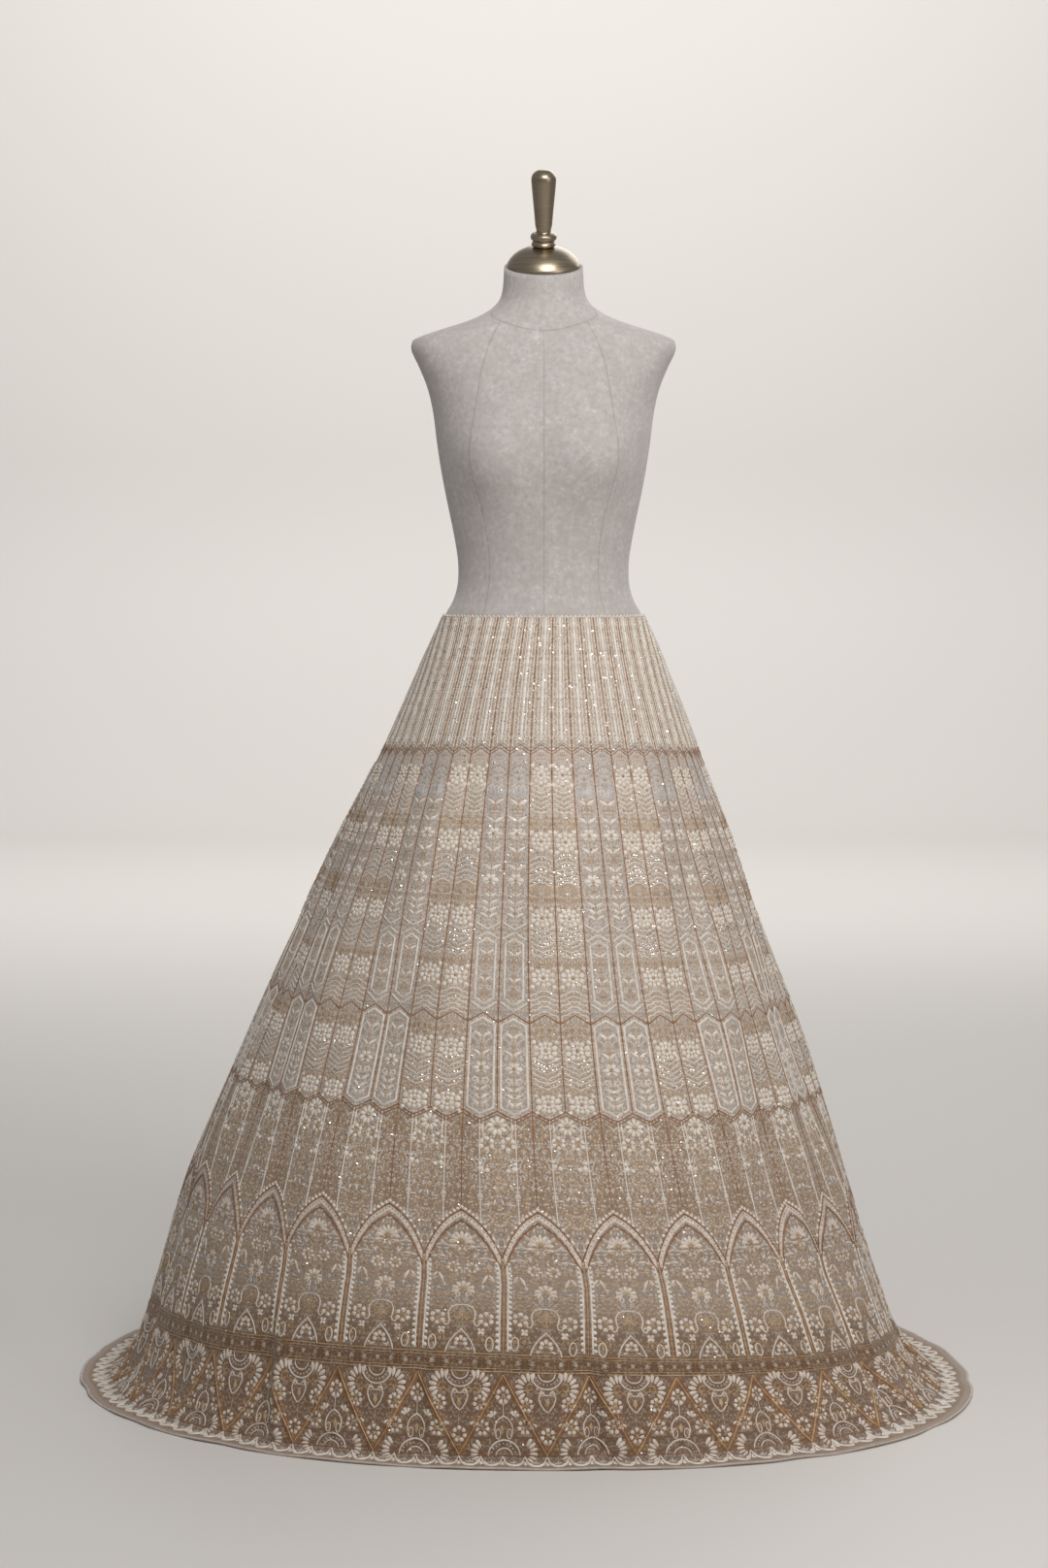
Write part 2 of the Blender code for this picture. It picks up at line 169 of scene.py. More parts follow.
def section_at(runs):
    """The cloth's section between the named ones, on a smooth curve through them."""
    slopes = np.gradient(SECTIONS, RUNS, axis=0)
    above = np.clip(np.searchsorted(RUNS, runs) - 1, 0, len(RUNS) - 2)
    span = (RUNS[above + 1] - RUNS[above])[..., None]
    share = (runs - RUNS[above])[..., None] / span
    rest = 1 - share
    return (
        (1 + 2 * share) * rest**2 * SECTIONS[above]
        + share * rest**2 * span * slopes[above]
        + share**2 * (1 + 2 * rest) * SECTIONS[above + 1]
        - share**2 * rest * span * slopes[above + 1]
    )


def fold_depth(turn, runs):
    """How deep the folds sink. They relax where they meet the floor."""
    relaxed = smooth_share((runs - FLOOR_RUN) / FLOOR_FADE)
    left = 1 - (1 - FOLD_LEFT_ON_FLOOR) * relaxed
    depth = 0.0
    for at_deg, lean_deg, half_width, deep, top_run in FOLDS:
        share = np.clip((runs - top_run) / FOLD_FULL_RUN, 0, None)
        away = off_front_deg(turn - np.radians(at_deg + lean_deg * share))
        valley = np.where(away < half_width, 0.5 + 0.5 * np.cos(np.pi * away / half_width), 0)
        depth = depth + deep * np.minimum(share, 1) * valley * (left if deep > 0 else 1)
    return depth


def hem_wave(strips, runs):
    """How far the free edge on the floor ripples up, in metres."""
    share = smooth_share((runs - HEM_WAVE_FROM_RUN) / HEM_WAVE_GROW_RUN)
    ripple = np.sin(strips * 2.1 + 0.6) + 0.6 * np.sin(strips * 4.2 + 2.0) + 1.5
    return HEM_WAVE * share * ripple


def tucks(turn, runs):
    """Shallow tucks beside the kali seams, where the cloth settles on the floor."""
    kali_deg = STRIP_DEG * STRIPS_PER_KALI
    lean = TUCK_LEAN_DEG * smooth_share((runs - TUCK_FROM_RUN) / TUCK_LEAN_RUN)
    past = np.degrees(turn) - FIRST_SEAM_DEG - lean + kali_deg / 2
    kali = np.floor(past / kali_deg)
    off = (past - (kali + 0.5) * kali_deg) / TUCK_HALF_DEG
    kali = kali % (STRIPS // STRIPS_PER_KALI)
    strength = TUCK_MEAN + TUCK_SPREAD * np.cos(TUCK_KALI_TURN * kali)
    share = smooth_share((runs - TUCK_FROM_RUN) / TUCK_GROW_RUN)
    share = share * smooth_share((TUCK_END_RUN - runs) / TUCK_FADE)
    return TUCK_DEPTH * strength * share * off * np.exp((1 - off**2) / 2)


def drape(turn, runs):
    """How far the cloth stands off its plain form, none at the waist or on the floor."""
    share = smooth_share(runs / RIPPLE_FULL_RUN)
    share = share * smooth_share((FLOOR_RUN - runs) / RIPPLE_FADE)
    wave = 0.0
    for round_turns, down_turns, start, height in RIPPLES:
        wave = wave + height * np.sin(round_turns * turn + down_turns * math.tau * runs + start)
    return wave * share


def inner_face(strips, runs):
    """Points of the cloth's inner face, in metres."""
    runs = np.clip(runs, 0, HEM_RUN)
    turn = np.radians(FIRST_SEAM_DEG + STRIP_DEG * strips)
    twist = math.radians(WAIST_TWIST_DEG) * np.maximum(1 - runs / TWIST_END_RUN, 0)
    worn = turn + twist + WAIST_DRAW_IN * np.exp(-runs / DRAW_IN_FADE) * np.sin(turn)
    side_r, side_z, front_r, front_z, back_r = np.moveaxis(section_at(runs), -1, 0)
    depth = np.where(np.cos(worn) > 0, front_r, back_r)
    radius = (np.square(np.sin(worn) / side_r) + np.square(np.cos(worn) / depth)) ** -0.5
    height = side_z + (front_z - side_z) * np.maximum(np.cos(worn), 0) ** 2
    gathered = (off_front_deg(turn) - GATHER_FROM_DEG) / (GATHER_FULL_DEG - GATHER_FROM_DEG)
    pleat = np.sin(np.pi * strips) ** 2
    gather = GATHER_DEPTH * np.clip(gathered, 0, 1) * np.exp(-((runs / GATHER_FADE) ** 2))
    puff = STRIP_PUFF * (pleat - 0.5) * smooth_share((HEM_RUN - runs) / PUFF_FADE)
    puff = puff * (PUFF_AT_WAIST + (1 - PUFF_AT_WAIST) * smooth_share(runs / PUFF_FULL_RUN))
    radius = radius + gather * pleat + puff
    radius = radius + drape(turn, runs) + tucks(turn, runs) - fold_depth(turn, runs)
    fade = np.clip((DROP_END_RUN - runs) / (DROP_END_RUN - DROP_FULL_RUN), 0, 1)
    dropped = SIDE_DROP * np.minimum(smooth_share(runs / DROP_FULL_RUN), fade)
    height = np.maximum(height - dropped * np.sin(worn), 0) + hem_wave(strips, runs)
    aside = HEM_SHIFT * smooth_share(runs / SHIFT_FULL_RUN)
    return np.stack(
        [radius * np.sin(worn) + aside, -radius * np.cos(worn), height], axis=-1
    )


def cloth_point(strips, runs, lift):
    """Points lifted square off the cloth's inner face, in metres."""
    strips, runs, lift = np.broadcast_arrays(strips, runs, lift)
    across = inner_face(strips + SLOPE_STRIPS, runs) - inner_face(strips - SLOPE_STRIPS, runs)
    down = inner_face(strips, runs + SLOPE_RUN) - inner_face(strips, runs - SLOPE_RUN)
    square = np.cross(down, across)
    square /= np.linalg.norm(square, axis=-1, keepdims=True)
    return inner_face(strips, runs) + square * lift[..., None]


def strip_widths():
    """Mean width of a strip at a row of runs, in millimetres."""
    runs = np.linspace(0, HEM_RUN, 60)
    strips = np.linspace(0, STRIPS, STRIPS * 2 + 1)
    ring = inner_face(strips[None, :], runs[:, None])
    around = np.linalg.norm(np.diff(ring, axis=1), axis=-1).sum(axis=1)
    return runs / MM, around / STRIPS / MM


WIDTH_RUNS, WIDTHS = strip_widths()


def strip_width(run_mm):
    """Width of one strip at a run, both in millimetres."""
    return np.interp(run_mm, WIDTH_RUNS, WIDTHS)


# Materials

def linear(hex_color):
    """An sRGB hex colour as the linear colour that a shader takes."""
    def channel(value):
        return value / 12.92 if value <= 0.04045 else ((value + 0.055) / 1.055) ** 2.4
    values = (int(hex_color[i:i + 2], 16) / 255 for i in (0, 2, 4))
    return tuple(channel(value) for value in values) + (1.0,)


def add_node(material, kind, inputs, stops=(), **settings):
    """Adds a node, sets it and fills or links its inputs. Gives its first output in use.

    A MapRange node takes a value, the range it comes in and the range it goes out in. A
    Mix node takes a share as input 0 and its two colours as inputs 6 and 7.
    """
    tree = material.node_tree
    node = tree.nodes.new("ShaderNode" + kind)
    for setting, value in settings.items():
        setattr(node, setting, value)
    named = inputs if isinstance(inputs, dict) else dict(enumerate(inputs))
    for socket, value in named.items():
        if isinstance(value, bpy.types.NodeSocket):
            tree.links.new(value, node.inputs[socket])
        elif isinstance(value, str):
            node.inputs[socket].default_value = linear(value)
        else:
            node.inputs[socket].default_value = value
    for index, (position, hex_color) in enumerate(stops):
        ramp = node.color_ramp.elements
        element = ramp[index] if index < len(ramp) else ramp.new(position)
        element.position = position
        element.color = linear(hex_color)
    return next(output for output in node.outputs if output.enabled)


def new_material(name, **sockets):
    """A material of one Principled shader with its constant sockets set directly."""
    material = bpy.data.materials.new(name)
    material.use_nodes = True
    shader = material.node_tree.nodes["Principled BSDF"]
    for socket, value in sockets.items():
        given = linear(value) if isinstance(value, str) else value
        shader.inputs[socket.replace("_", " ")].default_value = given
    return material


def finish_with(material, **outputs):
    """Links node outputs to the shader's sockets."""
    shader = material.node_tree.nodes["Principled BSDF"]
    for socket, output in outputs.items():
        material.node_tree.links.new(output, shader.inputs[socket.replace("_", " ")])
    return material


# Size of the fill's knots and of its sprigs, and a typical strip's width, in millimetres.
KNOT_MM = 2.6
SPRIG_MM = 7.0
STRIP_TYPICAL_MM = 50


def embroidered_net():
    """Nylon net over a satin lining, filled with close machine stitches.

    Viscose thread is matt and pale, and a dull metal thread runs through it, so the eye
    gets a fine speckle of cream and tan on grey-beige, mirrored on each strip. The knots
    are drawn twice as large as real ones, as finer ones don't show in the render.
    """
    material = new_material("embroidered_net", Roughness=0.7, Sheen_Weight=0.2,
                            Sheen_Roughness=0.5, Specular_IOR_Level=0.35)
    cloth = add_node(material, "UVMap", {}, uv_map="cloth")
    split = add_node(material, "SeparateXYZ", [cloth]).node
    strip, run = split.outputs[0], split.outputs[1]
    from_seam = add_node(material, "Math", [strip, 0.5], operation="PINGPONG")
    across = add_node(material, "Math", [from_seam, STRIP_TYPICAL_MM], operation="MULTIPLY")
    down = add_node(material, "Math", [run, 1 / MM], operation="MULTIPLY")
    flat = add_node(material, "CombineXYZ", [across, down])
    knots = add_node(material, "TexVoronoi", {"Vector": flat, "Scale": 1 / KNOT_MM,
                                              "Randomness": 0.9})
    sprigs = add_node(material, "TexNoise", {"Vector": flat, "Scale": 1 / SPRIG_MM,
                                             "Detail": 3.0, "Roughness": 0.65})
    tints = add_node(material, "TexNoise", {"Vector": flat, "Scale": 1 / KNOT_MM,
                                            "Detail": 2.0, "Roughness": 0.6})
    depth = add_node(material, "Math", [run, HEM_RUN], operation="DIVIDE")

    def at(run_mm):
        return run_mm * MM / HEM_RUN

    ground = add_node(material, "ValToRGB", [depth], stops=(
        (0.0, "BDB3AA"), (at(YOKE_END), "C2B8AF"), (at(YOKE_END + 12), "C8BCB2"),
        (at(MIDDLE_ZIGZAG), "BDB0A4"), (at(LOWER_ZIGZAG + 12), "B4A89C"),
        # Over the belt the net is browner, with painted shade of the cloth turning down.
        (at(ARCH_APEX), "AB9D92"), (at(980), "988A7E"), (at(BELT_TOP - 32), "7C6857"),
        (at(BELT_TOP - 2), "705843"), (at(BELT_TOP + 2), "664A33"),
        (at(BELT_BOTTOM - 2), "664A33"), (at(BELT_BOTTOM + 4), "705743"),
        (at(BORDER_END), "725947"), (at(EMBROIDERY_END), "846E5C"),
        # The margin's brown is partly painted bounce light from the floor.
        (at(EMBROIDERY_END + 3), "998677"), (1.0, "A59385"),
    ))
    in_work = add_node(material, "Math", [depth, at(EMBROIDERY_END)], operation="LESS_THAN")
    # The sides of each lower panel are browner.
    off_foot = add_node(material, "Math", [strip, 1.0], operation="PINGPONG")
    beside_foot = add_node(material, "Math", [off_foot, 0.5], operation="GREATER_THAN")
    under_zigzag = add_node(material, "Math", [depth, at(LOWER_ZIGZAG + 6)],
                            operation="GREATER_THAN")
    over_arch = add_node(material, "Math", [depth, at(ARCH_APEX + 6)], operation="LESS_THAN")
    side_panel = beside_foot
    for share in (under_zigzag, over_arch, 0.45):
        side_panel = add_node(material, "Math", [side_panel, share], operation="MULTIPLY")
    ground = add_node(material, "Mix", {0: side_panel, 6: ground, 7: "8C7158"},
                      data_type="RGBA")
    # Over them, the medallion strips are cooler and the flower strips a little warmer.
    in_kali = add_node(material, "Math", [strip, STRIPS_PER_KALI / 2], operation="PINGPONG")
    medallion = add_node(material, "Math", [in_kali, 1.0], operation="GREATER_THAN")
    under_yoke = add_node(material, "Math", [depth, at(YOKE_END + 8)],
                          operation="GREATER_THAN")
    over_panels = add_node(material, "Math", [depth, at(LOWER_ZIGZAG + 6)],
                           operation="LESS_THAN")
    in_bands = add_node(material, "Math", [under_yoke, over_panels], operation="MULTIPLY")
    cool = add_node(material, "Math", [in_bands, medallion], operation="MULTIPLY")
    warm = add_node(material, "Math", [in_bands, cool], operation="SUBTRACT")
    for strip_kind, strength, tint in ((cool, 0.45, "B9B4B2"), (warm, 0.08, "B39D86")):
        share = add_node(material, "Math", [strip_kind, strength], operation="MULTIPLY")
        ground = add_node(material, "Mix", {0: share, 6: ground, 7: tint}, data_type="RGBA")
    # The speckle thins out down the arches and is calmer where the chevrons lie.
    dense = add_node(material, "MapRange", [depth, at(ARCH_APEX), at(BELT_TOP), 1.0, 0.35])
    calm = add_node(material, "Math", [in_bands, -0.3, 1.0], operation="MULTIPLY_ADD")
    for share in (in_work, calm):
        dense = add_node(material, "Math", [dense, share], operation="MULTIPLY")
    # Each knot has its own chance to be tan or pale, more so within the sprigs.
    chance = add_node(material, "SeparateColor", [knots.node.outputs["Color"]])
    gold_knot = add_node(material, "Math", [chance, 0.36], operation="LESS_THAN")
    pale_knot = add_node(material, "Math", [chance, 0.68], operation="GREATER_THAN")
    speckled = ground
    for noise, picked, least, most, tint in (
        (sprigs, gold_knot, 0.25, 0.85, "A5825C"), (tints, pale_knot, 0.3, 0.9, "DED5CB"),
    ):
        amount = add_node(material, "MapRange", [noise, 0.40, 0.62, least, most])
        for share in (dense, picked):
            amount = add_node(material, "Math", [amount, share], operation="MULTIPLY")
        speckled = add_node(material, "Mix", {0: amount, 6: speckled, 7: tint},
                            data_type="RGBA")
    # Painted shade darkens the low gaps between the domed knots, where the darker net shows too.
    gap_shade = add_node(material, "MapRange", [knots, 0.35, 0.75, 0.0, 0.55])
    gap_shade = add_node(material, "Math", [gap_shade, dense], operation="MULTIPLY")
    color = add_node(material, "Mix", {0: gap_shade, 6: speckled, 7: "66503F"}, data_type="RGBA")
    relief = add_node(material, "Math", [1.0, knots], operation="SUBTRACT")
    relief = add_node(material, "Math", [relief, in_work], operation="MULTIPLY")
    bump = add_node(material, "Bump", {"Height": relief, "Strength": 0.5,
                                       "Distance": 0.8 * MM})
    return finish_with(material, Base_Color=color, Normal=bump)


def laid_thread(name, hex_color, dark_dye_and_groove_shade_hex, pitch_mm, **sockets):
    """Thread laid side by side over the motif: fine ribs across it, and uneven dye."""
    material = new_material(name, **sockets)
    lay = add_node(material, "UVMap", {}, uv_map="thread")
    split = add_node(material, "SeparateXYZ", [lay]).node
    slant = add_node(material, "Math", [split.outputs[0], 0.4, split.outputs[1]],
                     operation="MULTIPLY_ADD")
    turns = add_node(material, "Math", [slant, math.tau / pitch_mm], operation="MULTIPLY")
    ribs = add_node(material, "Math", [turns], operation="SINE")
    place = add_node(material, "TexCoord", {}).node.outputs["Object"]
    uneven = add_node(material, "TexNoise", {"Vector": place, "Scale": 1 / (9 * MM),
                                             "Detail": 2.0})
    share = add_node(material, "MapRange", [uneven, 0.35, 0.65])
    # Painted shade: the grooves between the ribs are darkened.
    groove_shade = add_node(material, "MapRange", [ribs, -1.0, 0.2, 0.35, 0.0])
    dyed = add_node(material, "Mix", {0: share, 6: hex_color, 7: dark_dye_and_groove_shade_hex},
                    data_type="RGBA")
    color = add_node(material, "Mix", {0: groove_shade, 6: dyed, 7: dark_dye_and_groove_shade_hex}, data_type="RGBA")
    bump = add_node(material, "Bump", {"Height": ribs, "Strength": 0.35,
                                       "Distance": 0.25 * MM})
    return finish_with(material, Base_Color=color, Normal=bump)


# The cover's panels, the height of its neck seam at the back, how far the seam dips in
# front, and the size of a stitch.
COVER_PANELS = 8
NECK_SEAM_HEIGHT = 1.530
NECK_SEAM_DIP = 0.048
COVER_STITCH = 1.6 * MM


def jersey_cover():
    """Cotton jersey drawn tight over the padded form: matt, pale, heathered with grey.

    Eight panels are joined by flat seams, and one more seam goes round the neck. The
    stitches are drawn at 1.6 mm, twice the real size, so that they show.
    """
    material = new_material("form_jersey", Roughness=0.88, Sheen_Weight=0.3,
                            Sheen_Roughness=0.6, Specular_IOR_Level=0.25)
    place = add_node(material, "TexCoord", {}).node.outputs["Object"]
    heather = add_node(material, "TexNoise", {"Vector": place, "Scale": 1 / (7 * MM),
                                              "Detail": 5.0, "Roughness": 0.65})
    clouds = add_node(material, "TexNoise", {"Vector": place, "Scale": 1 / (22 * MM),
                                             "Detail": 4.0, "Roughness": 0.6})
    flecks = add_node(material, "ValToRGB", [heather], stops=(
        (0.30, "A8A2A1"), (0.45, "B5AFAD"), (0.57, "BDB7B4"), (0.70, "CBC5BF")))
    shade = add_node(material, "MapRange", [clouds, 0.4, 0.62, 0.0, 0.5])
    worn = add_node(material, "Mix", {0: shade, 6: flecks, 7: "AEA5A1"}, data_type="RGBA")
    cover = add_node(material, "UVMap", {}, uv_map="cover")
    split = add_node(material, "SeparateXYZ", [cover]).node
    turn_deg, height = split.outputs[0], split.outputs[1]
    beside = add_node(material, "Math", [turn_deg, 180 / COVER_PANELS], operation="PINGPONG")
    panel_seam = add_node(material, "MapRange", [beside, 0.25, 0.6, 1.0, 0.0])
    turn = add_node(material, "Math", [turn_deg], operation="RADIANS")
    facing = add_node(material, "Math", [turn], operation="COSINE")
    forward = add_node(material, "Math", [facing, 0.0], operation="MAXIMUM")
    neck_line = add_node(material, "Math", [forward, -NECK_SEAM_DIP, NECK_SEAM_HEIGHT],
                         operation="MULTIPLY_ADD")
    off_line = add_node(material, "Math", [height, neck_line], operation="SUBTRACT")
    off_line = add_node(material, "Math", [off_line], operation="ABSOLUTE")
    neck_seam = add_node(material, "MapRange", [off_line, 0.6 * MM, 1.4 * MM, 1.0, 0.0])
    below = add_node(material, "Math", [height, neck_line], operation="LESS_THAN")
    panel_seam = add_node(material, "Math", [panel_seam, below], operation="MULTIPLY")
    seams = add_node(material, "Math", [panel_seam, neck_seam], operation="MAXIMUM")
    shade = add_node(material, "Math", [seams, 0.26], operation="MULTIPLY")
    color = add_node(material, "Mix", {0: shade, 6: worn, 7: "6E655F"}, data_type="RGBA")
    knit = add_node(material, "TexVoronoi", {"Vector": place, "Scale": 1 / COVER_STITCH})
    relief = add_node(material, "Math", [seams, -3.0, knit], operation="MULTIPLY_ADD")
    bump = add_node(material, "Bump", {"Height": relief, "Strength": 0.3,
                                       "Distance": 0.3 * MM})
    return finish_with(material, Base_Color=color, Normal=bump)


def lacquered_metal():
    """Spun brass under champagne lacquer: warm, satin, with fine turned rings."""
    material = new_material("champagne_lacquered_brass", Metallic=1.0, Roughness=0.35,
                            Coat_Weight=0.3, Coat_Roughness=0.2)
    place = add_node(material, "TexCoord", {}).node.outputs["Object"]
    rings = add_node(material, "Mapping", {"Vector": place, "Scale": (20, 20, 900)})
    spun = add_node(material, "TexNoise", {"Vector": rings, "Scale": 1.0, "Detail": 3.0})
    color = add_node(material, "ValToRGB", [spun], stops=((0.35, "968874"), (0.65, "A69985")))
    rough = add_node(material, "MapRange", [spun, 0.3, 0.7, 0.28, 0.42])
    return finish_with(material, Base_Color=color, Roughness=rough)


def drawn_steel():
    """Drawn steel tube: grey, satin, with fine streaks along it."""
    material = new_material("drawn_steel", Metallic=1.0, Roughness=0.3)
    place = add_node(material, "TexCoord", {}).node.outputs["Object"]
    along = add_node(material, "Mapping", {"Vector": place, "Scale": (900, 900, 12)})
    drawn = add_node(material, "TexNoise", {"Vector": along, "Scale": 1.0, "Detail": 2.0})
    color = add_node(material, "ValToRGB", [drawn], stops=((0.3, "A5A5A3"), (0.7, "C2C2C0")))
    rough = add_node(material, "MapRange", [drawn, 0.3, 0.7, 0.24, 0.4])
    return finish_with(material, Base_Color=color, Roughness=rough)


def enamelled_iron():
    """Cast iron under black stoving enamel: dark, half gloss, slightly pebbled."""
    material = new_material("enamelled_iron", Roughness=0.38, IOR=1.5)
    place = add_node(material, "TexCoord", {}).node.outputs["Object"]
    grain = add_node(material, "TexNoise", {"Vector": place, "Scale": 1 / (3 * MM),
                                            "Detail": 3.0})
    color = add_node(material, "ValToRGB", [grain], stops=((0.3, "1B1B1C"), (0.7, "2A2A2B")))
    bump = add_node(material, "Bump", {"Height": grain, "Strength": 0.2,
                                       "Distance": 0.2 * MM})
    return finish_with(material, Base_Color=color, Normal=bump)


NET = embroidered_net()
# Viscose is drawn as smooth filaments, so its satin stitches have a soft sheen.
CREAM = laid_thread("cream_viscose_thread", "ECE5DC", "D5C9BC", 0.9, Roughness=0.5,
                    Sheen_Weight=0.35, Sheen_Roughness=0.4, Specular_IOR_Level=0.5)
# The cream viscose made darker for the arches and border: painted shade of the lower skirt.
CREAM_IN_PAINTED_SHADE = laid_thread("cream_viscose_thread_in_painted_shade", "E2D6CA", "CCBDAF", 0.9, Roughness=0.5,
                    Sheen_Weight=0.2)
# Cotton is spun from short fibres and twisted to a cord, so it is matt and shows its turns.
BROWN = laid_thread("brown_cotton_cord", "A0744F", "7D5639", 1.6, Roughness=0.7,
                    Sheen_Weight=0.2, Specular_IOR_Level=0.35)
# Metal foil wound on a cotton core gives a dull glint between the fibres.
GOLD = laid_thread("dull_gold_metal_thread", "CCB08A", "A88A69", 0.8, Roughness=0.45,
                   Metallic=0.35, Specular_IOR_Level=0.5)
# Viscose dyed grey looks like dull silver beside the cream.
SILVER = laid_thread("grey_viscose_thread", "CFCBC8", "B0AAA6", 0.9, Roughness=0.5,
                     Sheen_Weight=0.3, Specular_IOR_Level=0.5)
# Metal foil punched into round sequins keeps a mirror's gloss.
FOIL = new_material("foil_sequins", Base_Color="F5EDE3", Metallic=1.0, Roughness=0.28)


# Meshes

def new_piece(name, points, faces, material, uv_name=None, uvs=None, replaces=()):
    """A mesh piece that rides on the form, from arrays of points, faces and corner UVs."""
    mesh = bpy.data.meshes.new(name)
    mesh.from_pydata(points, [], faces)
    mesh.materials.append(material)
    if uv_name:
        layer = mesh.uv_layers.new(name=uv_name)
        layer.uv.foreach_set("vector", np.asarray(uvs, dtype=np.float32).ravel())
    mesh.shade_smooth()
    piece = bpy.data.objects.new(name, mesh)
    bpy.context.scene.collection.objects.link(piece)
    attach(piece, "root")
    if replaces:
        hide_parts(*replaces)
    return piece


def grid_faces(rows, columns, start=0, flip=False):
    """Quads of a grid that closes on itself round its columns, and their corner UV ids."""
    row, column = np.meshgrid(np.arange(rows - 1), np.arange(columns), indexing="ij")
    ahead = (column + 1) % columns
    corners = [row * columns + column, (row + 1) * columns + column,
               (row + 1) * columns + ahead, row * columns + ahead]
    uv_ids = [(row, column), (row + 1, column), (row + 1, column + 1), (row, column + 1)]
    if flip:
        corners, uv_ids = corners[::-1], uv_ids[::-1]
    faces = np.stack(corners, axis=-1).reshape(-1, 4) + start
    ids = np.array(uv_ids).transpose(2, 3, 0, 1).reshape(-1, 2)
    return faces, ids


COLUMNS_PER_STRIP = 8
OUTER_ROWS = 126
INNER_ROWS = 40
KALI_NODES = [f"kali_{number + 1:02d}" for number in range(STRIPS // STRIPS_PER_KALI)]


def skirt_cloth():
    """The skirt's cloth: a fine outer face, a coarser inner face and the two rims."""
    columns = STRIPS * COLUMNS_PER_STRIP
    strips = np.arange(columns) / COLUMNS_PER_STRIP
    points, faces, uvs = [], [], []
    start = 0
    for rows, lift, flip in ((OUTER_ROWS, CLOTH_THICKNESS, False), (INNER_ROWS, 0.0, True)):
        runs = np.linspace(0, HEM_RUN, rows)
        face = cloth_point(strips[None, :], runs[:, None], np.array(lift))
        points.append(face.reshape(-1, 3))
        quads, ids = grid_faces(rows, columns, start, flip)
        faces.append(quads)
        uvs.append(np.stack([ids[:, 1] / COLUMNS_PER_STRIP, runs[ids[:, 0]]], axis=-1))
        start += rows * columns
    here = np.arange(columns)
    ahead = (here + 1) % columns
    inner = OUTER_ROWS * columns
    last = (OUTER_ROWS - 1) * columns
    inner_last = inner + (INNER_ROWS - 1) * columns
    faces.append(np.stack([here, ahead, inner + ahead, inner + here], axis=-1))
    faces.append(np.stack([last + ahead, last + here, inner_last + here,
                           inner_last + ahead], axis=-1))
    for run in (0.0, HEM_RUN):
        rim = np.stack([np.stack([here / COLUMNS_PER_STRIP, np.full(columns, run)], -1)] * 4, 1)
        uvs.append(rim.reshape(-1, 2))
    return new_piece("skirt_cloth", np.concatenate(points), np.concatenate(faces), NET,
                     "cloth", np.concatenate(uvs), KALI_NODES)


# Thread work: motifs drawn once in millimetres, x across the strip and y down the skirt

# The beige thread is the cream one with painted shade, for the arches and the border.
THREADS = {"cream": CREAM, "beige": CREAM_IN_PAINTED_SHADE, "brown": BROWN, "gold": GOLD,
           "silver": SILVER, "foil": FOIL}
# Stitches start a little below the cloth's face, so that none of them hovers over it.
ROOT_LIFT = -0.2
# Where along a petal its width is set, as shares of its length. The shapes below give the
# widths there. A petal of gold is so fine that its middle is enough.
PETAL_STATIONS = (0.18, 0.5, 0.82)
SMALL_STATIONS = (0.5,)
ROUND = (0.66, 1.0, 0.9)
LEAF = (0.85, 1.0, 0.55)
DROP = (0.4, 0.82, 1.0)
PLUMP = (0.7, 1.0, 0.95)
# The sewer's hand: small slips that differ from stitch to stitch.
hand = np.random.default_rng(20)


def aimed(aim_deg):
    """The direction of an aim, clockwise from up the skirt, and the one to its right."""
    aim = math.radians(aim_deg)
    return np.array([math.sin(aim), -math.cos(aim)]), np.array([math.cos(aim), math.sin(aim)])


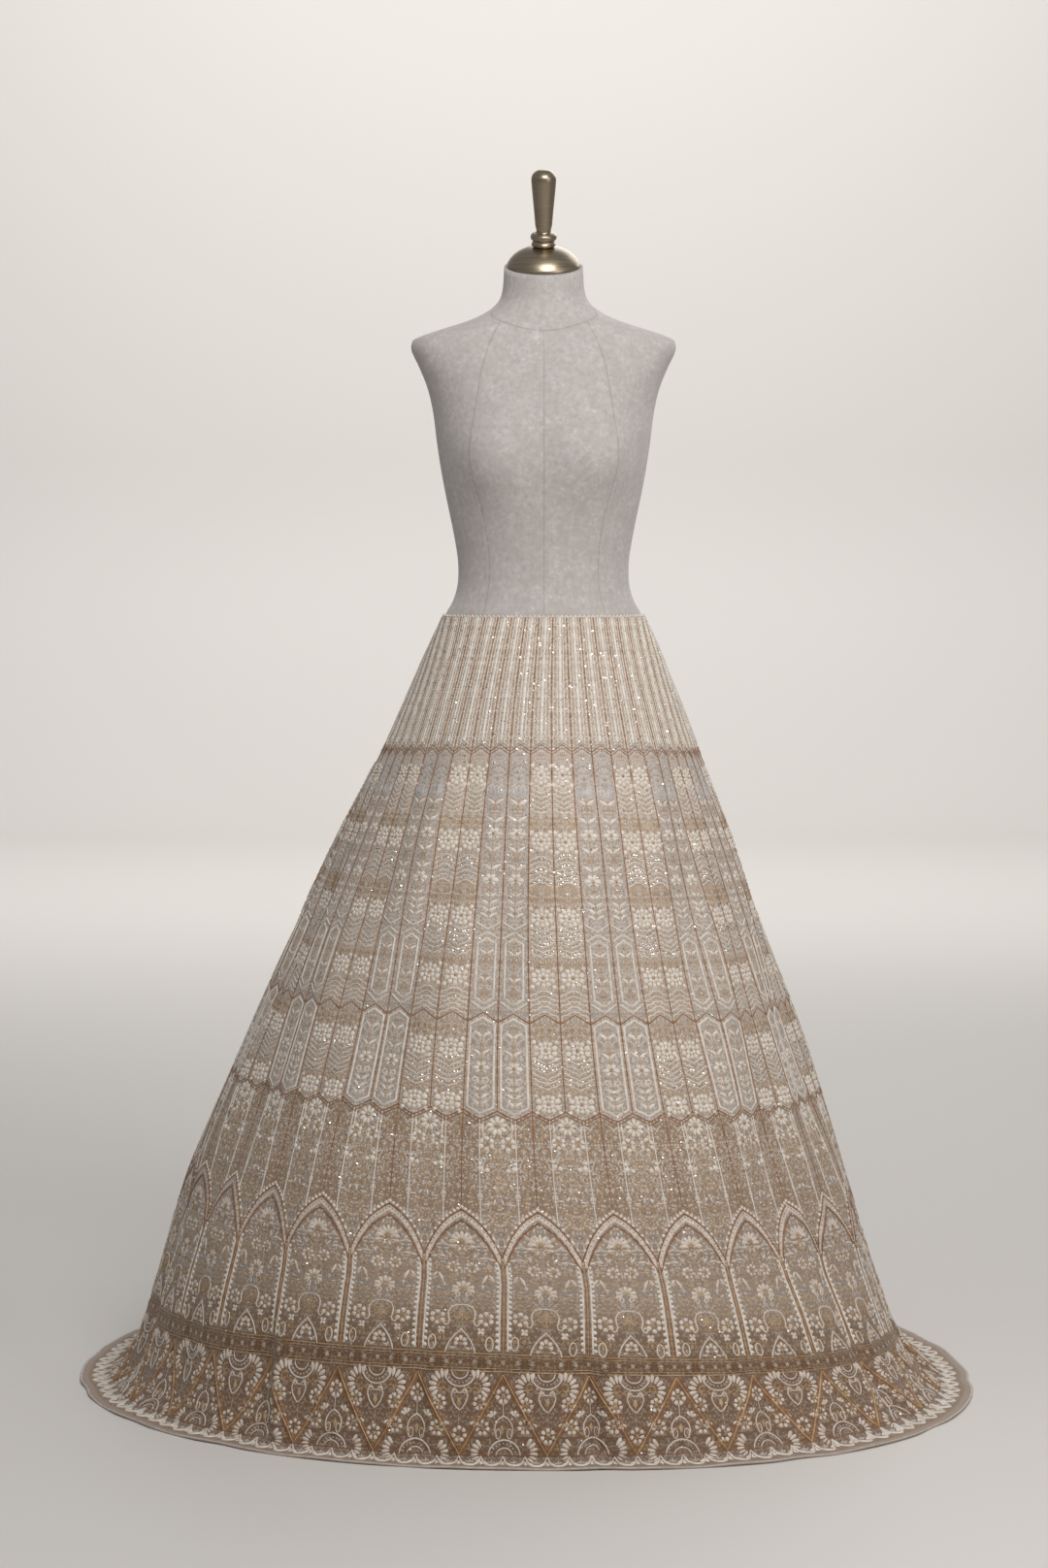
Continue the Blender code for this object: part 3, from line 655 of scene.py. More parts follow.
class Motif:
    """Raised stitches of one or more threads, drawn flat."""

    def __init__(self):
        self.threads = {}

    def add(self, thread, points, lay, quads, tris):
        """Adds stitches. Faces are turned so that they face off the cloth. A thread's
        points, lay, quads, triangles and count of points are kept."""
        store = self.threads.setdefault(thread, [[], [], [], [], 0])
        for faces, kept in ((np.array(quads, int), 2), (np.array(tris, int), 3)):
            if not len(faces):
                continue
            a, b, c = (points[faces[:, corner], :2] for corner in (0, 1, 2))
            area = (b - a)[:, 0] * (c - a)[:, 1] - (b - a)[:, 1] * (c - a)[:, 0]
            store[kept].append(np.where(area[:, None] > 0, faces[:, ::-1], faces) + store[4])
        store[0].append(points)
        store[1].append(lay)
        store[4] += len(points)

    def petal(self, thread, x, y, aim_deg, length, width, rise=1.3, shape=ROUND, bend=0.0):
        """A satin-stitched petal from its root to its tip, domed along the middle."""
        along, right = aimed(aim_deg)
        root = np.array([x, y])
        small = thread == "gold"
        stations = SMALL_STATIONS if small else PETAL_STATIONS
        rows = [(0.0, 0.0, ROOT_LIFT), (1.0, 0.0, ROOT_LIFT)]
        for station, share in zip(stations, (1.0,) if small else shape):
            half = share * width / 2
            top = rise * (0.8 if station != 0.5 else 1.0)
            rows += [(station, -half, ROOT_LIFT), (station, 0.0, top), (station, half, ROOT_LIFT)]
        points, lay = [], []
        for station, side, lift in rows:
            flat = root + along * length * station + right * (side + bend * station**2)
            points.append((flat[0], flat[1], lift))
            lay.append((side, length * station))
        quads = [(2 + 3 * i + j, 5 + 3 * i + j, 6 + 3 * i + j, 3 + 3 * i + j)
                 for i in range(len(stations) - 1) for j in (0, 1)]
        last = len(rows) - 3
        tris = [(0, 2, 3), (0, 3, 4), (1, last, last + 1), (1, last + 1, last + 2)]
        self.add(thread, np.array(points), np.array(lay), quads, tris)

    def cord(self, thread, path, width, rise=0.9, closed=False):
        """A couched cord along a path, round on top and tapered at free ends."""
        path = np.array(path, float)
        count = len(path)
        if closed:
            ahead, behind = np.roll(path, -1, axis=0), np.roll(path, 1, axis=0)
        else:
            ahead = np.vstack([path[1:], 2 * path[-1] - path[-2]])
            behind = np.vstack([2 * path[0] - path[1], path[:-1]])
        into = (path - behind) / np.linalg.norm(path - behind, axis=1, keepdims=True)
        out = (ahead - path) / np.linalg.norm(ahead - path, axis=1, keepdims=True)
        along = into + out
        along /= np.linalg.norm(along, axis=1, keepdims=True)
        mitre = 1 / np.clip((into * along).sum(axis=1, keepdims=True), 0.5, 1)
        right = np.stack([-along[:, 1], along[:, 0]], axis=1) * mitre
        reach = np.concatenate([[0], np.cumsum(np.linalg.norm(np.diff(path, axis=0), axis=1))])
        top = np.full(count, rise)
        if not closed:
            top[[0, -1]] = rise * 0.35
        points = np.empty((count, 3, 3))
        lay = np.empty((count, 3, 2))
        for j, side in enumerate((-0.5, 0.0, 0.5)):
            points[:, j, :2] = path + right * side * width
            points[:, j, 2] = top if side == 0 else ROOT_LIFT
            lay[:, j, 0] = side * width
            lay[:, j, 1] = reach
        spans = count if closed else count - 1
        quads = [(3 * i + j, 3 * ((i + 1) % count) + j, 3 * ((i + 1) % count) + j + 1,
                  3 * i + j + 1) for i in range(spans) for j in (0, 1)]
        self.add(thread, points.reshape(-1, 3), lay.reshape(-1, 2), quads, [])

    def knot(self, thread, x, y, radius, rise=1.2, sides=6):
        """A round knot or bead: a small dome."""
        turn = math.tau * np.arange(sides) / sides
        rim = np.stack([x + radius * np.cos(turn), y + radius * np.sin(turn),
                        np.full(sides, ROOT_LIFT)], axis=1)
        shoulder = rim.copy()
        shoulder[:, :2] = (rim[:, :2] - (x, y)) * 0.62 + (x, y)
        shoulder[:, 2] = rise * 0.8
        points = np.vstack([rim, shoulder, [(x, y, rise)]])
        lay = points[:, :2] - (x, y)
        here = np.arange(sides)
        ahead = (here + 1) % sides
        quads = np.stack([here, ahead, sides + ahead, sides + here], 1)
        tris = np.stack([sides + here, sides + ahead, np.full(sides, 2 * sides)], 1)
        self.add(thread, points, lay, quads, tris)

    def spray(self, thread, x, y, aims, heart, length, width, rise=1.3, shape=ROUND):
        """Petals that point away from a centre and start at a heart's radius from it."""
        for aim in aims:
            along, _ = aimed(aim)
            self.petal(thread, x + along[0] * heart, y + along[1] * heart, aim, length, width,
                       rise, shape)

    def flower(self, x, y, petals, reach, width, thread="cream", heart=3.0, shape=ROUND,
               span_deg=360.0):
        """Petals round an open heart with a gold knot in it, all round or in a fan."""
        shares = [i / petals if span_deg >= 360 else i / (petals - 1) - 0.5
                  for i in range(petals)]
        aims = [share * span_deg for share in shares]
        self.spray(thread, x, y, aims, heart, reach - heart, width, shape=shape)
        self.knot("gold", x, y, min(heart * 0.6, 2.0), 1.2, sides=5)

    def daisy(self, x, y, reach, petals):
        """A round flower of many petals."""
        self.flower(x, y, petals, reach, reach * 3.7 / petals, heart=reach * 0.24)

    def rosette(self, x, y, reach, petals=7, thread="cream"):
        """A ring of short petals round a gold middle."""
        self.flower(x, y, petals, reach, reach * 3.9 / petals, thread=thread,
                    heart=reach * 0.42, shape=PLUMP)
        self.spray("gold", x, y, range(45, 360, 90), 0, reach * 0.42, reach * 0.26, 0.8)

    def leaf_pair(self, spread_deg, length, width, bend):
        """Two cream leaves that rise to both sides from one point, tips curled out."""
        for side in (-1, 1):
            self.petal("cream", side * 0.3, 0, side * spread_deg, length, width,
                       shape=LEAF, bend=side * bend)

    def curl(self, thread, x, y, radius, width, turn_deg=0.0, side=1, turns=1.25, rise=0.8):
        """A volute that winds in to its middle."""
        path = []
        steps = max(int(turns * 6), 5)
        for i in range(steps + 1):
            share = i / steps
            angle = math.radians(turn_deg) + side * turns * math.tau * share
            reach = radius * (1 - 0.72 * share)
            path.append((x + reach * math.sin(angle), y - reach * math.cos(angle)))
        self.cord(thread, path, width, rise)


def arc(x, y, radius_x, radius_y, from_deg, to_deg, steps):
    """Points round an ellipse, degrees clockwise from up the skirt."""
    angles = np.radians(np.linspace(from_deg, to_deg, steps + 1))
    return np.stack([x + radius_x * np.sin(angles), y - radius_y * np.cos(angles)], axis=1)


def mirrored(path):
    """A path from the middle line outward, and its mirror image, as one path."""
    path = np.array(path, float)
    other = path[::-1] * (-1, 1)
    return np.vstack([other[:-1] if abs(path[0][0]) < 1e-9 else other, path])


def closed_frame(right):
    """A closed outline from its right half, which runs from the top to the bottom."""
    return right + [(-x, y) for x, y in right[-2:0:-1]]


class Needlework:
    """All raised thread of the skirt, gathered by band and thread into pieces."""

    def __init__(self):
        self.bands = {}

    def store(self, band, thread, strips, runs, lift, lay, quads, tris):
        """Keeps stitches whose points are given as strip place, run and lift in mm."""
        kept = self.bands.setdefault((band, thread), {"rows": [], "quads": [], "tris": [],
                                                      "count": 0})
        kept["rows"].append(np.column_stack([strips, runs, lift, lay]))
        if len(quads):
            kept["quads"].append(quads + kept["count"])
        if len(tris):
            kept["tris"].append(tris + kept["count"])
        kept["count"] += len(strips)

    def lay(self, band, motif, places, run, by_hand=True):
        """Lays a motif on every strip place given, its origin at one run in mm."""
        places = np.atleast_1d(np.array(places, float))
        width = strip_width(run)
        for thread, (points, lay, quads, tris, count) in motif.threads.items():
            points, lay = np.vstack(points), np.vstack(lay)
            quads = np.vstack(quads) if quads else np.empty((0, 4), int)
            tris = np.vstack(tris) if tris else np.empty((0, 3), int)
            copies = len(places)
            x = np.tile(points[:, 0], (copies, 1))
            y = np.tile(points[:, 1], (copies, 1))
            if by_hand:
                shift = hand.normal(0, 0.35, (copies, 2, 1))
                turn = np.radians(hand.normal(0, 1.5, (copies, 1)))
                size = hand.normal(1, 0.02, (copies, 1))
                x, y = (size * (x * np.cos(turn) - y * np.sin(turn)) + shift[:, 0],
                        size * (x * np.sin(turn) + y * np.cos(turn)) + shift[:, 1])
            offsets = (np.arange(copies) * count)[:, None, None]
            self.store(
                band, thread, (places[:, None] + x / width).ravel(), (run + y).ravel(),
                np.tile(points[:, 2], copies), np.tile(lay, (copies, 1)),
                (quads[None] + offsets).reshape(-1, 4), (tris[None] + offsets).reshape(-1, 3))

    def line(self, band, thread, strips, runs, width, rise, places=(0,), aside=0.0):
        """Couches a long cord along strip places and runs, once from each of the places."""
        strips, runs = np.array(strips, float), np.array(runs, float)
        scale = strip_width(runs)
        step = np.stack([np.gradient(strips) * scale, np.gradient(runs)], axis=1)
        step /= np.linalg.norm(step, axis=1, keepdims=True)
        right = np.stack([-step[:, 1], step[:, 0]], axis=1)
        lengths = np.hypot(np.diff(strips) * scale[1:], np.diff(runs))
        reach = np.concatenate([[0], np.cumsum(lengths)])
        count = len(strips)
        sides = (-0.5, 0.0, 0.5)
        across = np.array([aside + side * width for side in sides])
        s = strips[:, None] + right[:, :1] * across / scale[:, None]
        r = runs[:, None] + right[:, 1:] * across
        lift = np.tile([ROOT_LIFT, rise, ROOT_LIFT], (count, 1))
        lay = np.stack([np.tile(across - aside, (count, 1)),
                        np.tile(reach[:, None], (1, 3))], axis=-1)
        i, j = np.meshgrid(np.arange(count - 1), (0, 1), indexing="ij")
        quads = np.stack([3 * i + j, 3 * i + j + 1, 3 * i + j + 4, 3 * i + j + 3], -1)
        quads = quads.reshape(-1, 4)
        if right[0, 0] > 0 or (right[0, 0] == 0 and step[0, 0] > 0):
            quads = quads[:, ::-1]
        for place in np.atleast_1d(places):
            self.store(band, thread, (s + place).ravel(), r.ravel(), lift.ravel(),
                       lay.reshape(-1, 2), quads, np.empty((0, 3), int))

    def make_pieces(self):
        """One mesh for each band and thread, laid on the cloth."""
        made = []
        for (band, thread), kept in self.bands.items():
            rows = np.vstack(kept["rows"])
            points = cloth_point(rows[:, 0], rows[:, 1] * MM,
                                 CLOTH_THICKNESS + rows[:, 2] * MM)
            faces, corners = [], []
            for kind in ("quads", "tris"):
                if kept[kind]:
                    block = np.vstack(kept[kind])
                    faces += block.tolist()
                    corners.append(block.ravel())
            uvs = rows[:, 3:5][np.concatenate(corners)]
            made.append(new_piece(f"{band}_{thread}", points, faces, THREADS[thread],
                                  "thread", uvs))
        return made


# Strip places: a kali has a flower strip at each edge and two medallion strips between.
KALI_STARTS = np.arange(0, STRIPS, STRIPS_PER_KALI)
FLOWER_STRIPS = np.concatenate([KALI_STARTS + 0.5, KALI_STARTS + 3.5])
MEDALLION_STRIPS = np.concatenate([KALI_STARTS + 1.5, KALI_STARTS + 2.5])
ALL_STRIPS = np.arange(STRIPS)
ARCH_FEET = np.arange(0, STRIPS, 2)
ARCH_MIDDLES = ARCH_FEET + 1

# A wavy chevron's reach to each side of a strip's middle, as a share of the strip, and the
# distance from row to row in millimetres.
WAVE_SHARE = 0.46
WAVE_STEP = 7


def steps_between(start, end, step):
    """Evenly spaced values from start to end, near a step apart."""
    return np.linspace(start, end, max(int(round(abs(end - start) / step)), 1) + 1)


def seam_cords(work):
    """Thin brown cords down every strip's edges."""
    panel_edges = [place for place in ALL_STRIPS if place % STRIPS_PER_KALI]
    for places, start, end, width in (
        (ALL_STRIPS, 1, YOKE_END + YOKE_ZIGZAG, 1.2),
        (panel_edges, YOKE_END + YOKE_ZIGZAG, LOWER_ZIGZAG, 1.9),
        (KALI_STARTS, YOKE_END + YOKE_ZIGZAG, LOWER_ZIGZAG, 1.7),
        (ARCH_MIDDLES, LOWER_ZIGZAG, ARCH_APEX, 2.0),
    ):
        runs = steps_between(start, end, 14)
        work.line("seams", "brown", np.zeros(len(runs)), runs, width, 1.0, places)
    runs = steps_between(ARCH_FOOT, BELT_TOP, 14)
    for aside, thread in ((-1.8, "brown"), (0, "gold"), (1.8, "brown")):
        work.line("seams", thread, np.zeros(len(runs)), runs, 1.4, 1.0, ARCH_FEET, aside)


def beads(work, band, thread, strips, runs, radius, rise, tilt=0.0, sides=4):
    """Small beads or sequins at strip places and runs, each on its own tilt."""
    count = len(strips)
    angle = math.tau * (np.arange(sides) + 0.5) / sides
    lean = hand.normal(0, 1, (count, 2, 1)) * tilt
    x = radius * np.cos(angle) + np.zeros((count, 1))
    y = radius * np.sin(angle) + np.zeros((count, 1))
    low = ROOT_LIFT if tilt == 0 else rise * 0.6
    lift = low + lean[:, 0] * x + lean[:, 1] * y
    x, y = np.hstack([x, np.zeros((count, 1))]), np.hstack([y, np.zeros((count, 1))])
    lift = np.hstack([lift, np.full((count, 1), rise)])
    here = np.arange(sides)
    tris = np.stack([np.full(sides, sides), here, (here + 1) % sides], 1)
    tris = (tris[None] + (np.arange(count) * (sides + 1))[:, None, None]).reshape(-1, 3)
    places = np.asarray(strips)[:, None] + x / strip_width(np.asarray(runs))[:, None]
    down = np.asarray(runs)[:, None] + y
    work.store(band, thread, places.ravel(), down.ravel(), lift.ravel(),
               np.stack([x.ravel(), y.ravel()], 1), np.empty((0, 4), int), tris)


def yoke(work):
    """Rows of cream cord that fan out from the waist and end in a brown zigzag."""
    runs = steps_between(0.5, YOKE_END - 4, 9)
    still = np.zeros(len(runs))
    for share, width, rise, thread in (
        (0.50, 3.2, 1.5, "cream"), (0.31, 1.3, 0.9, "cream"), (0.69, 1.3, 0.9, "cream"),
        (0.10, 1.0, 0.7, "cream"), (0.90, 1.0, 0.7, "cream"),
    ):
        swing = YOKE_ZIGZAG * abs(share - 0.5) * 2
        ends = np.linspace(0.5, YOKE_END - 5 + swing, len(runs))
        work.line("yoke", thread, still + share, ends, width, rise, ALL_STRIPS)
    for share in (0.20, 0.40, 0.60, 0.80):
        rows = np.arange(4, YOKE_END - 4, 4.4)
        strips = np.tile(np.arange(STRIPS), (len(rows), 1)) + share
        beads(work, "yoke", "gold" if share in (0.20, 0.80) else "silver",
              strips.ravel(), np.repeat(rows, STRIPS), 1.0, 1.2)
    for drop, width in ((0, 1.4), (5.0, 1.1)):
        zigzag(work, "yoke", "brown", YOKE_END + drop, YOKE_ZIGZAG, width, ALL_STRIPS)


def zigzag(work, band, thread, apex_run, drop, width, places, share=0.5, rise=1.0):
    """A line across a strip that rises to its middle, or falls to it if the drop is less
    than nothing."""
    strips = 0.5 + np.array([-1, -0.5, 0, 0.5, 1]) * share
    runs = apex_run + drop * np.abs(strips - 0.5) * 2
    work.line(band, thread, strips, runs, width, rise, places)


def waves(work, start, end, drop, width, sparkle):
    """Rows of a soft wavy chevron across the flower strips, some with sequins over it."""
    places = FLOWER_STRIPS - 0.5
    strips = 0.5 + np.linspace(-WAVE_SHARE, WAVE_SHARE, 11)
    off = np.abs(strips - 0.5) / 0.5
    for run in range(start, end, WAVE_STEP):
        runs = run + drop * off + 0.8 * np.cos(off * math.tau * 2)
        work.line("panels", "cream", strips, runs, width, 0.8, places)
        if sparkle:
            some = places[hand.random(len(places)) < 0.65]
            rows = np.tile(runs[1:-1] - 2.5, len(some))
            row_strips = (some[:, None] + strips[1:-1]).ravel()
            beads(work, "sequins", "foil", row_strips, rows, 1.2, 1.2, 0.4, 6)


def gold_sprig(size=1.0):
    """A small gold floret on a short stem."""
    motif = Motif()
    motif.spray("gold", 0, 0, (-100, -50, 0, 50, 100), 0, 4.6 * size, 2.3 * size, 0.9)
    motif.cord("gold", [(0, 0), (0, 6 * size)], 1.0, 0.6)
    motif.knot("silver", 0, 0, 1.2 * size, 1.3, sides=5)
    return motif


def gold_scrolls(reach, size):
    """A mirrored pair of gold vines with volutes and buds."""
    motif = Motif()
    for side in (-1, 1):
        motif.cord("gold", arc(side * reach * 0.5, 0, reach * 0.5, size * 0.5,
                               -90 * side, 90 * side, 4), 1.1, 0.6)
        motif.curl("gold", side * reach * 0.95, size * 0.35, size * 0.34, 1.0, 0, side)
        motif.curl("gold", side * reach * 0.42, size * 0.25, size * 0.28, 1.0, 180, -side)
        motif.petal("gold", side * reach * 0.5, -size * 0.5, side * 20, size * 0.42, 2.0, 0.8)
        motif.petal("gold", side * reach * 0.8, -size * 0.35, side * 60, size * 0.42, 2.0, 0.8)
    return motif


def flower_strips(work):
    """Round flowers between blocks of wavy chevrons, two strips side by side."""
    def block_flower(half, height):
        """A flower that fills its block, with loose petals in the corners."""
        motif = Motif()
        for petals, root, tip, width in ((10, 0.50, 0.98, 0.42), (6, 0.14, 0.52, 0.36)):
            for i in range(petals):
                aim = math.radians(i * 360 / petals)
                reach = 1 / math.hypot(math.sin(aim) / half, math.cos(aim) / height)
                motif.petal("cream", reach * root * math.sin(aim),
                            -reach * root * math.cos(aim), i * 360 / petals,
                            reach * (tip - root), reach * width, 1.6, PLUMP)
        motif.knot("gold", 0, 0, 2.0, 1.6)
        for side_x in (-1, 1):
            for side_y in (-1, 1):
                motif.petal("cream", side_x * half * 0.70, side_y * height * 0.74,
                            math.degrees(math.atan2(side_x, -side_y)), 6.4, 6.0, 1.5, PLUMP)
        return motif

    for half, height, run in ((11.6, 14, 242), (13.4, 15, 333), (15.2, 13.5, 437),
                              (16.4, 14, 519), (18, 13, 618), (19, 13, 692)):
        work.lay("panels", block_flower(half, height), FLOWER_STRIPS, run)
    for start, end, drop, width, sparkle in (
        (260, 296, -8, 1.8, False), (352, 388, 8, 1.8, True), (457, 493, -9, 1.8, True),
        (536, 567, 9, 1.8, False), (637, 673, -10, 1.9, True),
    ):
        waves(work, start, end, drop, width, sparkle)
    scroll = gold_scrolls(12, 9)
    for run in (305, 314, 399, 409, 419, 503, 588, 598, 676):
        work.lay("panels", scroll, FLOWER_STRIPS, run)


def small_flower():
    """A white flower of two upper, two side and two curled lower petals."""
    motif = Motif()
    for side in (-1, 1):
        motif.petal("cream", side * 1.2, -1.4, side * 24, 7.4, 6.0, 1.6, PLUMP)
        motif.petal("cream", side * 1.8, 0.4, side * 80, 9.0, 6.0, 1.6, PLUMP, bend=side)
        motif.petal("cream", side * 1.2, 2.4, side * 128, 7.0, 4.2, 1.4, DROP)
    motif.knot("gold", 0, 0.4, 1.6, 1.5, sides=5)
    return motif


def cartouche(work, top, bottom, shoulder, share, width):
    """A long frame with pointed ends, in thick cream cord."""
    motif = Motif()
    half = strip_width((top + bottom) / 2) * share
    length = bottom - top
    right = [(0, 0), (half, shoulder)]
    right += [(half, y) for y in steps_between(shoulder, length - shoulder, 20)[1:]]
    right += [(0, length)]
    motif.cord("cream", closed_frame(right), width, 1.5, closed=True)
    work.lay("panels", motif, MEDALLION_STRIPS, top, by_hand=False)


def medallion_strips(work):
    """Leaves and flowers up a stem, over two long framed cartouches."""
    places = MEDALLION_STRIPS
    edges = places - 0.5
    for run in (217, 225, 233, 241):
        zigzag(work, "panels", "silver", run, 9, 1.3, edges, share=0.42, rise=0.7)
    lozenge = Motif()
    half = 0.42 * strip_width(264)
    outline = np.array(closed_frame([(0, -12), (half, -5.5), (half, 4.5), (0, 12)]))
    for reach, width in ((1.0, 2.4), (0.62, 2.2)):
        lozenge.cord("silver", outline * reach, width, 1.0, closed=True)
    for x in (-6, -2, 2, 6):
        lozenge.petal("silver", x, 9 - abs(x) * 0.6, x, 17 - abs(x), 5.0, 0.9)
    work.lay("panels", lozenge, places, 264)
    leaves, short_leaves, fishbone, inner_leaves = Motif(), Motif(), Motif(), Motif()
    leaves.leaf_pair(42, 14, 4.8, 3.0)
    short_leaves.leaf_pair(42, 10.0, 4.0, 2.0)
    fishbone.leaf_pair(50, 13, 4.0, 1.5)
    inner_leaves.leaf_pair(44, 11, 4.2, 2.0)
    white = small_flower()
    sprig = gold_sprig()
    small_sprig = gold_sprig(0.8)
    for motif, runs in (
        (sprig, (262, 289, 355, 401)),
        (leaves, (283, 307, 348, 373, 602, 627)),
        (white, (323, 386, 644)),
        (short_leaves, (410,)),
        (fishbone, (421, 430, 439, 675, 685, 695)),
        (inner_leaves, (490, 526)),
        (small_sprig, (474, 499, 511, 536, 588, 612, 633)),
    ):
        for run in runs:
            work.lay("panels", motif, places, run)
    for start, end in ((272, 300), (308, 316), (332, 340), (349, 376), (392, 437), (478, 548),
                       (590, 636), (652, 700)):
        runs = steps_between(start, end, 12)
        work.line("panels", "gold", np.full(len(runs), 0.5), runs, 1.1, 0.6, edges)
    for run, drop in ((455, -11), (459, 11), (566, -14)):
        zigzag(work, "panels", "cream", run, drop, 2.6, edges, share=0.44, rise=1.4)
    cartouche(work, 467, 557, 8, 0.30, 2.5)
    cartouche(work, 576, 706, 9, 0.37, 3.1)
    volutes = Motif()
    for side in (-1, 1):
        volutes.curl("cream", side * 7, 0, 5.2, 1.8, 180, side, rise=1.1)
        volutes.petal("silver", side * 5, 5, side * 160, 6, 2.6)
    work.lay("panels", volutes, places, 661)
    zigzag(work, "panels", "brown", MIDDLE_ZIGZAG - 3, 13, 2.0, ALL_STRIPS)


def lower_panels(work):
    """Flower panels between plain cream lines, over the arches."""
    for drop, width in ((0, 2.2), (4.5, 1.6)):
        zigzag(work, "lower_panels", "brown", LOWER_ZIGZAG + 12 + drop, -12, width, ALL_STRIPS)
    for side in (-1, 1):
        runs = steps_between(714, ARCH_APEX + 16, 14)
        work.line("lower_panels", "cream", np.full(len(runs), side * 0.5), runs, 1.7, 1.2,
                  ARCH_FEET)
        runs = steps_between(716, 742, 13)
        work.line("lower_panels", "cream", np.full(len(runs), side * 0.40), runs, 1.4, 1.0,
                  ARCH_FEET)
    panel = Motif()
    panel.daisy(0, 0, 13.0, 9)
    for side in (-1, 1):
        panel.petal("cream", side * 17.5, 10, side * 4, 13, 2.8, 1.2, ROUND)
        panel.rosette(side * 12.5, 23, 9.6, 6)
        panel.petal("silver", side * 6, 12, side * 150, 6, 3)
        panel.knot("cream", side * 19.5, 56, 3.8, 1.6, sides=8)
        panel.knot("cream", side * 12, 58, 3.2, 1.4, sides=8)
        panel.knot("cream", side * 20.5, 49, 2.6, 1.3, sides=8)
        panel.petal("silver", side * 16.5, 50, side * 30, 5, 3)
        panel.petal("cream", side * 9, 104, side * 80, 11, 2.4, shape=LEAF, bend=side * 2.5)
        panel.petal("cream", side * 3.5, 96, side * 165, 9, 2.4, shape=LEAF)
        panel.spray("gold", side * 1.0, 84, (side * 28, side * 152), 0, 12, 3.4, 1.0, LEAF)
        panel.petal("silver", side * 7, 80, side * 60, 7, 3.6, 1.1, LEAF)
        panel.cord("silver", [(side * 4, 40), (side * 11, 37), (side * 16, 41), (side * 13, 46)],
                   1.3, 0.9)
    panel.cord("gold", [(0, 10), (0, 30), (0, 60), (0, 76)], 1.1, 0.6)
    work.lay("lower_panels", panel, ARCH_FEET, 722)
    broad, close = gold_scrolls(19, 13), gold_scrolls(13, 10)
    for run, motif in ((755, broad), (768, close), (787, broad), (800, close), (838, broad),
                       (850, close), (861, close)):
        work.lay("lower_panels", motif, ARCH_FEET, run)
    small_sprig = gold_sprig(0.8)
    for run in range(726, 835, 12):
        for side in (-1, 1):
            work.lay("lower_panels", small_sprig, ARCH_MIDDLES + side * 0.25, run)


def arch_fall(share):
    """How far down its height an arch's line is, at a share of its half span."""
    return 0.45 * share + 0.55 * share**3


def arch_line(step_mm, inset, sink):
    """Strip offsets and runs along an arch, from its left foot to its right foot."""
    shares = np.linspace(-1, 1, int(ARCH_LENGTH / step_mm))
    strips = shares * (1 - inset)
    runs = ARCH_APEX + sink + (ARCH_FOOT - ARCH_APEX) * arch_fall(np.abs(shares))
    return strips, runs


def arches(work):
    """Pointed arches two strips wide, each with a beaded band and scalloped legs."""
    for sink, inset, width in ((0, 0.0, 2.5), (14.0, 0.06, 2.8)):
        strips, runs = arch_line(4.0, inset, sink)
        if sink:
            runs = runs + 2.4 * np.abs(np.sin(np.arange(len(runs)) * math.pi / 2.5))
        work.line("arches", "brown", strips, runs, width, 1.6, ARCH_MIDDLES)
    strips, runs = arch_line(4.0, 0.031, 7.0)
    work.line("arches", "beige", strips, runs, 8.6, 0.35, ARCH_MIDDLES)
    strips, runs = arch_line(7.0, -0.01, -4.0)
    picots = Motif()
    for strip, run in zip(strips[1:-1], runs[1:-1]):
        picots.knot("cream", strip * strip_width(880), run - 880, 2.8, 1.1)
    work.lay("arches", picots, ARCH_MIDDLES, 880, by_hand=False)
    for row, thread, step in ((0, "cream", 3.0), (1, "brown", 6.0), (2, "cream", 3.0),
                              (3, "silver", 3.0)):
        strips, runs = arch_line(step, 0.012 + row * 0.013, 2.8 + row * 2.7)
        rows = (ARCH_MIDDLES[:, None] + strips).ravel()
        beads(work, "arches", thread, rows, np.tile(runs, len(ARCH_MIDDLES)), 1.3, 1.7)
    legs = Motif()
    for side in (-1, 1):
        column = steps_between(ARCH_FOOT + 5, BELT_TOP - 4, 9.0)
        legs.cord("cream", [(side * 5.4, y - 980) for y in column], 2.8, 1.5)
        for y in steps_between(ARCH_FOOT + 9, BELT_TOP - 8, 8.0):
            legs.knot("cream", side * 8.0, y - 980, 2.9, 1.5)
    work.lay("arches", legs, ARCH_FEET, 980, by_hand=False)


